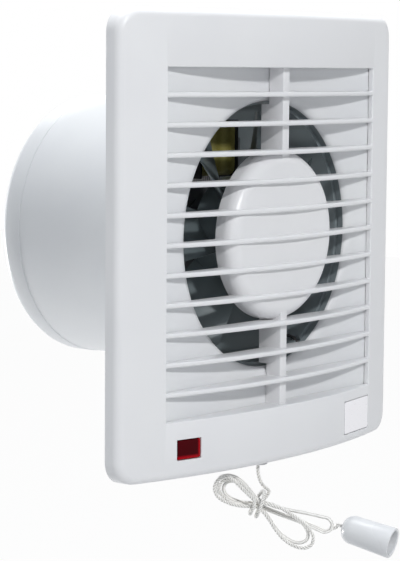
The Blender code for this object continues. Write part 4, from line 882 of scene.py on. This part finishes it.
def blade_point(radius, along, side, turn):
    """A point of a blade: out from the axis, along its chord, and on its front or rear face."""
    share = (radius - HUB_RADIUS) / (BLADE_TIP - HUB_RADIUS)
    chord = BLADE_ROOT_CHORD + share * (BLADE_TIP_CHORD - BLADE_ROOT_CHORD)
    pitch = math.radians(BLADE_ROOT_PITCH + share * (BLADE_TIP_PITCH - BLADE_ROOT_PITCH))
    out = BLADE_CAMBER * (1 - 4 * along * along)
    out += side * BLADE_THICKNESS / 2 * math.sqrt(max(0.04, 1 - (2 * along) ** 4))
    sideways = along * chord * math.cos(pitch) - out * math.sin(pitch)
    depth = BLADE_MIDDLE + along * chord * math.sin(pitch) + out * math.cos(pitch)
    angle = turn - sideways / radius
    return Vector((radius * math.cos(angle), depth, radius * math.sin(angle)))


def blade(number):
    """One twisted blade, shaped from a thin subdivided block."""
    bpy.ops.mesh.primitive_grid_add(x_subdivisions=20, y_subdivisions=24, size=1.0, location=(0.0, 0.0, 0.0))
    piece = bpy.context.object
    edit(piece)
    bpy.ops.mesh.select_all(action="SELECT")
    bpy.ops.mesh.extrude_region_move(TRANSFORM_OT_translate={"value": (0.0, 0.0, 1.0)})
    face_outwards()
    leave()
    turn = math.radians(BLADE_START_ANGLE) + 2 * math.pi * number / BLADE_COUNT
    root = HUB_RADIUS - 0.8 * mm
    for corner in piece.data.vertices:
        radius = root + (corner.co.y + 0.5) * (BLADE_TIP - root)
        side = 1.0 if corner.co.z > 0.5 else -1.0
        corner.co = blade_point(radius, corner.co.x, side, turn)
    edit(piece)
    face_outwards()
    leave()
    return piece


def impeller(material):
    rear = HUB_FRONT + HUB_DEPTH
    edge = arc((HUB_RADIUS - HUB_ROUND, HUB_FRONT + HUB_ROUND), HUB_ROUND, 270.0, 360.0, 8)
    hub = turned("hub", edge + [(HUB_RADIUS, rear)])
    floor = HUB_FRONT + HUB_WALL
    cut(hub, post("hollow", HUB_RADIUS - HUB_WALL, floor, rear + mm))
    join(hub, post("boss", HUB_BOSS_RADIUS, floor - 0.5 * mm, rear, 64))
    cut(hub, post("bore", HUB_BORE_RADIUS, -FAR, FAR, 48))
    for number in range(BLADE_COUNT):
        join(hub, blade(number))
    smooth(hub, 35.0)
    return dress(hub, "dark_impeller", "impeller_set", material, ["impeller"])


# Shared finishes

def new_group(name, inputs, outputs):
    """An empty node group with named sockets; returns the group and its two end nodes."""
    group = bpy.data.node_groups.new(name, "ShaderNodeTree")
    for title, kind, value in inputs:
        socket = group.interface.new_socket(title, in_out="INPUT", socket_type=kind)
        socket.default_value = value
    for title, kind in outputs:
        group.interface.new_socket(title, in_out="OUTPUT", socket_type=kind)
    return group, group.nodes.new("NodeGroupInput"), group.nodes.new("NodeGroupOutput")


def give(tree, socket, value):
    """Set a number or a colour on a socket, or link a varying value to it."""
    if isinstance(value, (int, float)):
        socket.default_value = value
    elif isinstance(value, tuple):
        socket.default_value = (*value, 1.0)
    else:
        tree.links.new(value, socket)


def noise(tree, place, scale, detail=3.0):
    node = tree.nodes.new("ShaderNodeTexNoise")
    for title, value in (("Detail", detail), ("Scale", scale), ("Vector", place)):
        give(tree, node.inputs[title], value)
    return node.outputs["Fac"]


def object_place(tree):
    """Coordinates on the object itself."""
    return tree.nodes.new("ShaderNodeTexCoord").outputs["Object"]


def along_axes(tree, vector):
    """A vector's three parts."""
    split = tree.nodes.new("ShaderNodeSeparateXYZ")
    tree.links.new(vector, split.inputs["Vector"])
    return [split.outputs[axis] for axis in "XYZ"]


def bumped(tree, height, distance):
    """A normal bumped by a varying height."""
    bump = tree.nodes.new("ShaderNodeBump")
    give(tree, bump.inputs["Distance"], distance)
    give(tree, bump.inputs["Height"], height)
    return bump.outputs["Normal"]


def seen_or_mirrored(tree):
    """One for what the camera sees directly, through glass or in a reflection."""
    path = tree.nodes.new("ShaderNodeLightPath")
    seen = math_node(tree, "MAXIMUM", path.outputs["Is Camera Ray"], path.outputs["Is Transmission Ray"])
    return math_node(tree, "MAXIMUM", seen, path.outputs["Is Glossy Ray"])


def feed(tree, shader, **sources):
    """Link values that vary over the surface to a shader's inputs."""
    for title, source in sources.items():
        tree.links.new(source, shader.inputs[title.replace("_", " ")])


def set_plain(shader, **values):
    """Set values that are the same all over on a shader's own inputs."""
    for title, value in values.items():
        shader.inputs[title.replace("_", " ")].default_value = value


def math_node(tree, operation, *values):
    node = tree.nodes.new("ShaderNodeMath")
    node.operation = operation
    for socket, value in zip(node.inputs, values):
        give(tree, socket, value)
    return node.outputs[0]


def spread(tree, value, low, high, start=0.0, end=1.0):
    """Map a value from one range to another."""
    node = tree.nodes.new("ShaderNodeMapRange")
    ends = (("From Min", start), ("From Max", end), ("To Min", low), ("To Max", high))
    for title, amount in (("Value", value), *ends):
        give(tree, node.inputs[title], amount)
    return node.outputs["Result"]


def mixed(tree, share, first, second):
    """Mix two colours by a varying share."""
    node = tree.nodes.new("ShaderNodeMix")
    node.data_type = "RGBA"
    for socket, value in (("Factor", share), (6, first), (7, second)):
        give(tree, node.inputs[socket], value)
    return node.outputs[2]


def begin_effect(name, stretch=None):
    """A surface effect's group with its fine noise, which may be stretched along an axis."""
    group, start, end = new_group(name, [
        ("Size", "NodeSocketFloat", 0.0005), ("Depth", "NodeSocketFloat", 0.00001),
        ("Roughness", "NodeSocketFloat", 0.35)], [
        ("Roughness", "NodeSocketFloat"), ("Normal", "NodeSocketVector"), ("Pattern", "NodeSocketFloat")])
    place = object_place(group)
    if stretch:
        mapping = group.nodes.new("ShaderNodeMapping")
        mapping.inputs["Scale"].default_value = stretch
        group.links.new(place, mapping.inputs["Vector"])
        place = mapping.outputs["Vector"]
    fine = noise(group, place, math_node(group, "DIVIDE", 1.0, start.outputs["Size"]), 2.0)
    group.links.new(bumped(group, fine, start.outputs["Depth"]), end.inputs["Normal"])
    return group, start, end, fine


def vary_roughness(group, start, end, pattern, swing):
    """Let a group's roughness swing about its own value with a pattern."""
    low = math_node(group, "SUBTRACT", start.outputs["Roughness"], swing)
    high = math_node(group, "ADD", start.outputs["Roughness"], swing)
    group.links.new(spread(group, pattern, low, high, 0.3, 0.7), end.inputs["Roughness"])


def make_mould_grain():
    """Fine moulded texture: a varying roughness, a bumped normal and a faint clouding."""
    group, start, end, _ = begin_effect("mould_grain")
    broad = noise(group, object_place(group), 28.0, 2.0)
    vary_roughness(group, start, end, broad, 0.05)
    group.links.new(spread(group, broad, 0.0, 1.0, 0.3, 0.7), end.inputs["Pattern"])
    return group


def make_brushing():
    """Fine parallel scratches along X, with a varying roughness and normal."""
    group, start, end, streaks = begin_effect("brushing", (0.04, 1.0, 1.0))
    vary_roughness(group, start, end, streaks, 0.07)
    group.links.new(streaks, end.inputs["Pattern"])
    return group


def new_material(name):
    """A material with its Principled shader and its node tree."""
    material = bpy.data.materials.new(name)
    material.use_nodes = True
    tree = material.node_tree
    shader = tree.nodes["Principled BSDF"]
    return material, tree, shader


def place_group(tree, group, **values):
    node = tree.nodes.new("ShaderNodeGroup")
    node.node_tree = group
    for title, value in values.items():
        node.inputs[title].default_value = value
    return node


def cover_with(tree, shader, colour, grain):
    """Give a shader its colour, and the roughness and normal of a placed effect."""
    roughness, normal = grain.outputs["Roughness"], grain.outputs["Normal"]
    feed(tree, shader, Base_Color=colour, Roughness=roughness, Normal=normal)


def patterned(name, effect, pale, deep, size, depth, roughness):
    """A finish between two close colours that follows a shared effect; returns it and its shader."""
    material, tree, shader = new_material(name)
    grain = place_group(tree, effect, Size=size, Depth=depth, Roughness=roughness)
    cover_with(tree, shader, mixed(tree, grain.outputs["Pattern"], deep, pale), grain)
    return material, shader


def moulded(name, pale, deep, roughness, size=0.5 * mm, depth=0.01 * mm):
    return patterned(name, mould_grain, pale, deep, size, depth, roughness)[0]


def metal(name, pale, deep, roughness, size=0.3 * mm):
    material, shader = patterned(name, brushing, pale, deep, size, 0.008 * mm, roughness)
    set_plain(shader, Metallic=1.0)
    return material


def distance_from_axis(tree):
    """How far a point lies from the duct's axis, and its place along it."""
    x, y, z = along_axes(tree, object_place(tree))
    square = math_node(tree, "ADD", math_node(tree, "MULTIPLY", x, x), math_node(tree, "MULTIPLY", z, z))
    return math_node(tree, "SQRT", square), y


def plastic_with_painted_shade(name, radius, start, roughness):
    """White plastic with dark slate painted shade inside a radius, from a depth to where the painted shade
    ends.
    """
    material, tree, shader = new_material(name)
    grain = place_group(tree, mould_grain, Size=0.5 * mm, Depth=0.01 * mm, Roughness=roughness)
    away, depth = distance_from_axis(tree)
    # Painted shade: dark slate inside the radius, from the start depth to the end depth
    inside = math_node(tree, "LESS_THAN", away, radius)
    past_wall = math_node(tree, "GREATER_THAN", depth, start)
    before_end = math_node(tree, "LESS_THAN", depth, PAINTED_SHADE_END)
    painted_shade = math_node(tree, "MULTIPLY", inside, math_node(tree, "MULTIPLY", past_wall, before_end))
    white = mixed(tree, grain.outputs["Pattern"], DEEP_WHITE, PALE_WHITE)
    cover_with(tree, shader, mixed(tree, painted_shade, white, SLATE_PAINTED_SHADE), grain)
    return material


def cord_finish():
    """Off-white spun fibre: fine hairs as bump, with painted shade darkening the grooves between the
    strands.
    """
    material, tree, shader = new_material("spun_cord")
    place = object_place(tree)
    fibres = noise(tree, place, 5200.0, 3.0)
    broad = noise(tree, place, 400.0, 2.0)
    groove = tree.nodes.new("ShaderNodeAttribute")
    groove.attribute_name = "groove"
    ridges = mixed(tree, broad, (0.91, 0.895, 0.865), (0.95, 0.94, 0.915))
    # Painted shade: the colour darkens towards the grooves between the strands
    shade = spread(tree, groove.outputs["Fac"], 0.0, 1.0, 0.25, 0.95)
    feed(tree, shader, Base_Color=mixed(tree, shade, ridges, (0.52, 0.50, 0.47)),
         Roughness=spread(tree, fibres, 0.75, 0.95), Normal=bumped(tree, fibres, 0.05 * mm))
    set_plain(shader, Specular_IOR_Level=0.2, Sheen_Weight=0.15)
    return material


def lens_finish():
    """Clear deep red plastic, dark in the middle, with a painted highlight on its lower and right edges."""
    material, tree, shader = new_material("clear_red")
    grain = place_group(tree, mould_grain, Size=1.5 * mm, Depth=0.004 * mm, Roughness=0.12)
    x, _, z = along_axes(tree, object_place(tree))
    half_width, half_height = LENS_SIZE[0] / 2, LENS_SIZE[1] / 2
    bottom = LENS_Z - half_height
    end = LENS_X + half_width
    # Painted highlight: brighter red along the lower and right edges
    low = spread(tree, z, 1.0, 0.0, bottom + 0.6 * mm, bottom + 1.5 * mm)
    right = spread(tree, x, 0.0, 1.0, end - 1.6 * mm, end - 0.8 * mm)
    edge = math_node(tree, "MAXIMUM", low, right)
    middle = mixed(tree, grain.outputs["Pattern"], (0.05, 0.0, 0.002), (0.08, 0.0, 0.003))
    colour = mixed(tree, edge, middle, (0.38, 0.002, 0.008))
    feed(tree, shader, Base_Color=colour, Normal=grain.outputs["Normal"])
    set_plain(shader, Roughness=0.18, Specular_IOR_Level=0.05, IOR=1.49)
    return material


def tape_finish():
    """Olive insulating tape, wound in overlapping turns."""
    material, tree, shader = new_material("olive_tape")
    place = object_place(tree)
    turns = tree.nodes.new("ShaderNodeTexWave")
    turns.bands_direction = "X"
    turns.inputs["Scale"].default_value = 50.0
    turns.inputs["Distortion"].default_value = 1.5
    turns.inputs["Detail Scale"].default_value = 30.0
    tree.links.new(place, turns.inputs["Vector"])
    bands = turns.outputs["Fac"]
    feed(tree, shader, Base_Color=mixed(tree, bands, (0.33, 0.29, 0.07), (0.46, 0.42, 0.14)),
         Roughness=spread(tree, bands, 0.35, 0.5), Normal=bumped(tree, bands, 0.1 * mm))
    return material


def sheet_stack(name):
    """Steel sheets stacked along Y, each edge a fine dark line."""
    material, tree, shader = new_material(name)
    place = object_place(tree)
    sheets = tree.nodes.new("ShaderNodeTexWave")
    sheets.bands_direction = "Y"
    sheets.inputs["Scale"].default_value = 320.0
    tree.links.new(place, sheets.inputs["Vector"])
    edges = sheets.outputs["Fac"]
    feed(tree, shader, Base_Color=mixed(tree, edges, (0.16, 0.16, 0.17), (0.36, 0.36, 0.38)),
         Roughness=spread(tree, noise(tree, place, 300.0), 0.4, 0.6), Normal=bumped(tree, edges, 0.08 * mm))
    set_plain(shader, Metallic=1.0)
    return material


def lamp_finish():
    """Clear glass of the small lamp, with a warm tint."""
    material, tree, shader = new_material("lamp_glass")
    grain = place_group(tree, mould_grain, Size=1.0 * mm, Depth=0.002 * mm, Roughness=0.08)
    tint = mixed(tree, grain.outputs["Pattern"], (0.95, 0.62, 0.45), (1.0, 0.72, 0.55))
    feed(tree, shader, Base_Color=tint)
    set_plain(shader, Roughness=0.05, Transmission_Weight=0.9, IOR=1.5)
    return material


def refinish(material, *nodes):
    """Give CAD nodes that stay a better material."""
    for name in nodes:
        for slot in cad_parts[name].material_slots:
            slot.material = material


# Light and surroundings

def light_world():
    """White to the camera and in reflections; a soft light from above and below, weak from the sides."""
    world = bpy.data.worlds.new("studio")
    bpy.context.scene.world = world
    world.use_nodes = True
    tree = world.node_tree
    tree.nodes.clear()
    height = along_axes(tree, tree.nodes.new("ShaderNodeTexCoord").outputs["Generated"])[2]
    ambient = tree.nodes.new("ShaderNodeBackground")
    ambient.inputs["Color"].default_value = (0.86, 0.93, 1.0, 1.0)
    above = math_node(tree, "GREATER_THAN", height, 0.0)
    gain = spread(tree, above, AMBIENT_BELOW, AMBIENT_ABOVE)
    steep = math_node(tree, "MULTIPLY", height, height)
    strength = math_node(tree, "ADD", AMBIENT_LEVEL, math_node(tree, "MULTIPLY", steep, gain))
    tree.links.new(strength, ambient.inputs["Strength"])
    white = tree.nodes.new("ShaderNodeBackground")
    white.inputs["Color"].default_value = (1.0, 1.0, 1.0, 1.0)
    mix = tree.nodes.new("ShaderNodeMixShader")
    tree.links.new(seen_or_mirrored(tree), mix.inputs[0])
    tree.links.new(ambient.outputs[0], mix.inputs[1])
    tree.links.new(white.outputs[0], mix.inputs[2])
    out = tree.nodes.new("ShaderNodeOutputWorld")
    tree.links.new(mix.outputs[0], out.inputs["Surface"])


def soft_lamp(name, azimuth, elevation, distance, size, power):
    """A square lamp aimed at the fan; azimuth counts from the fan's front towards its left."""
    turned_by = math.radians(azimuth)
    raised = math.radians(elevation)
    level = math.cos(raised)
    away = Vector((-math.sin(turned_by) * level, -math.cos(turned_by) * level, math.sin(raised)))
    bpy.ops.object.light_add(type="AREA", location=away * distance)
    lamp = bpy.context.object
    lamp.name = name
    lamp.data.size = size
    lamp.data.energy = power
    lamp.rotation_euler = (-away).to_track_quat("-Z", "Y").to_euler()


def floor():
    """A wide pale floor well below the fan, near white to the camera, that keeps its soft shadow."""
    bpy.ops.mesh.primitive_plane_add(size=6.0, location=(0.0, 0.0, FLOOR_Z))
    ground = bpy.context.object
    ground.name = "pale_floor"
    material, tree, shader = new_material("pale_floor")
    set_plain(shader, Base_Color=(FLOOR_GREY, FLOOR_GREY, FLOOR_GREY, 1.0), Roughness=0.9)
    glow = tree.nodes.new("ShaderNodeEmission")
    mix = tree.nodes.new("ShaderNodeMixShader")
    tree.links.new(math_node(tree, "MULTIPLY", seen_or_mirrored(tree), FLOOR_SEEN), mix.inputs[0])
    tree.links.new(shader.outputs[0], mix.inputs[1])
    tree.links.new(glow.outputs[0], mix.inputs[2])
    tree.links.new(mix.outputs[0], tree.nodes["Material Output"].inputs["Surface"])
    ground.data.materials.append(material)


# The fan

place_camera()
mould_grain = make_mould_grain()
brushing = make_brushing()
acorn_white = moulded("acorn_white", (0.74, 0.75, 0.76), (0.70, 0.71, 0.73), 0.3)
pull_cord(cord_finish(), acorn_white)

cover_white = moulded("cover_white", (0.80, 0.80, 0.81), (0.775, 0.775, 0.79), 0.36)
# The wall and duct get dark slate painted shade in the bell mouth and bore
wall_white = plastic_with_painted_shade("wall_white", BELL_RADIUS + 0.2 * mm, WALL_PAINTED_SHADE_START, 0.4)
duct_white = plastic_with_painted_shade("duct_white", DUCT_PAINTED_SHADE_RADIUS, DUCT_PAINTED_SHADE_START, 0.36)
ring_white = moulded("ring_white", PALE_WHITE, DEEP_WHITE, 0.36)
slate = moulded("slate_plastic", (0.14, 0.17, 0.18), (0.115, 0.14, 0.15), 0.42)
front_cover(cover_white)
inlet_wall(wall_white)
duct_body(duct_white)
end_ring(ring_white)
cord_bush(cover_white)
lens(lens_finish())
badge(metal("silver_sheet", (0.86, 0.86, 0.89), (0.78, 0.78, 0.82), 0.34, 0.4 * mm))
impeller(slate)

black_plastic = moulded("black_plastic", (0.035, 0.035, 0.035), (0.025, 0.025, 0.025), 0.45)
pale_plastic = moulded("pale_plastic", (0.66, 0.67, 0.68), (0.62, 0.63, 0.65), 0.45)
steel = metal("zinc_steel", (0.60, 0.61, 0.63), (0.45, 0.46, 0.48), 0.32)
stack = sheet_stack("sheet_stack")
refinish(moulded("bracket_slate", (0.09, 0.105, 0.11), (0.07, 0.08, 0.085), 0.45), "motor_bracket")
refinish(stack, "motor_stator", "motor_rotor")
refinish(black_plastic, "coil_bobbin", "switch_lever", "switch_lead", "lamp_lead", "motor_lead")
refinish(tape_finish(), "motor_coil")
refinish(steel, "motor_front_plate", "motor_rear_plate", "motor_screw_1", "motor_screw_2", "motor_shaft",
         "impeller_clip", "lever_pin", "lever_return_spring")
bronze = metal("sintered_bronze", (0.55, 0.38, 0.22), (0.40, 0.27, 0.15), 0.5)
refinish(bronze, "front_bearing", "rear_bearing")
refinish(metal("plain_brass", (0.78, 0.60, 0.30), (0.62, 0.46, 0.20), 0.35),
         "terminal_screw_1", "terminal_screw_2", "terminal_screw_3")
refinish(pale_plastic, "switch_body", "terminal_block", "lamp_holder")
rubber = moulded("grey_rubber", (0.13, 0.13, 0.13), (0.10, 0.10, 0.10), 0.7, 0.3 * mm, 0.02 * mm)
refinish(rubber, "cable_grommet")
refinish(lamp_finish(), "neon_lamp")
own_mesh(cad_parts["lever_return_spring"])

light_world()
soft_lamp("key", 24.0, 29.0, 1.5, 0.12, KEY_POWER)
soft_lamp("overhead", 180.0, 80.0, 1.2, 0.7, OVERHEAD_POWER)
soft_lamp("fill", 52.0, 4.0, 1.5, 0.4, FILL_POWER)
soft_lamp("rim", 174.0, -14.0, 1.0, 0.12, RIM_POWER)
soft_lamp("back", 180.0, 0.0, 1.0, 0.3, BACK_POWER)
floor()

bpy.context.scene.view_settings.view_transform = "Standard"
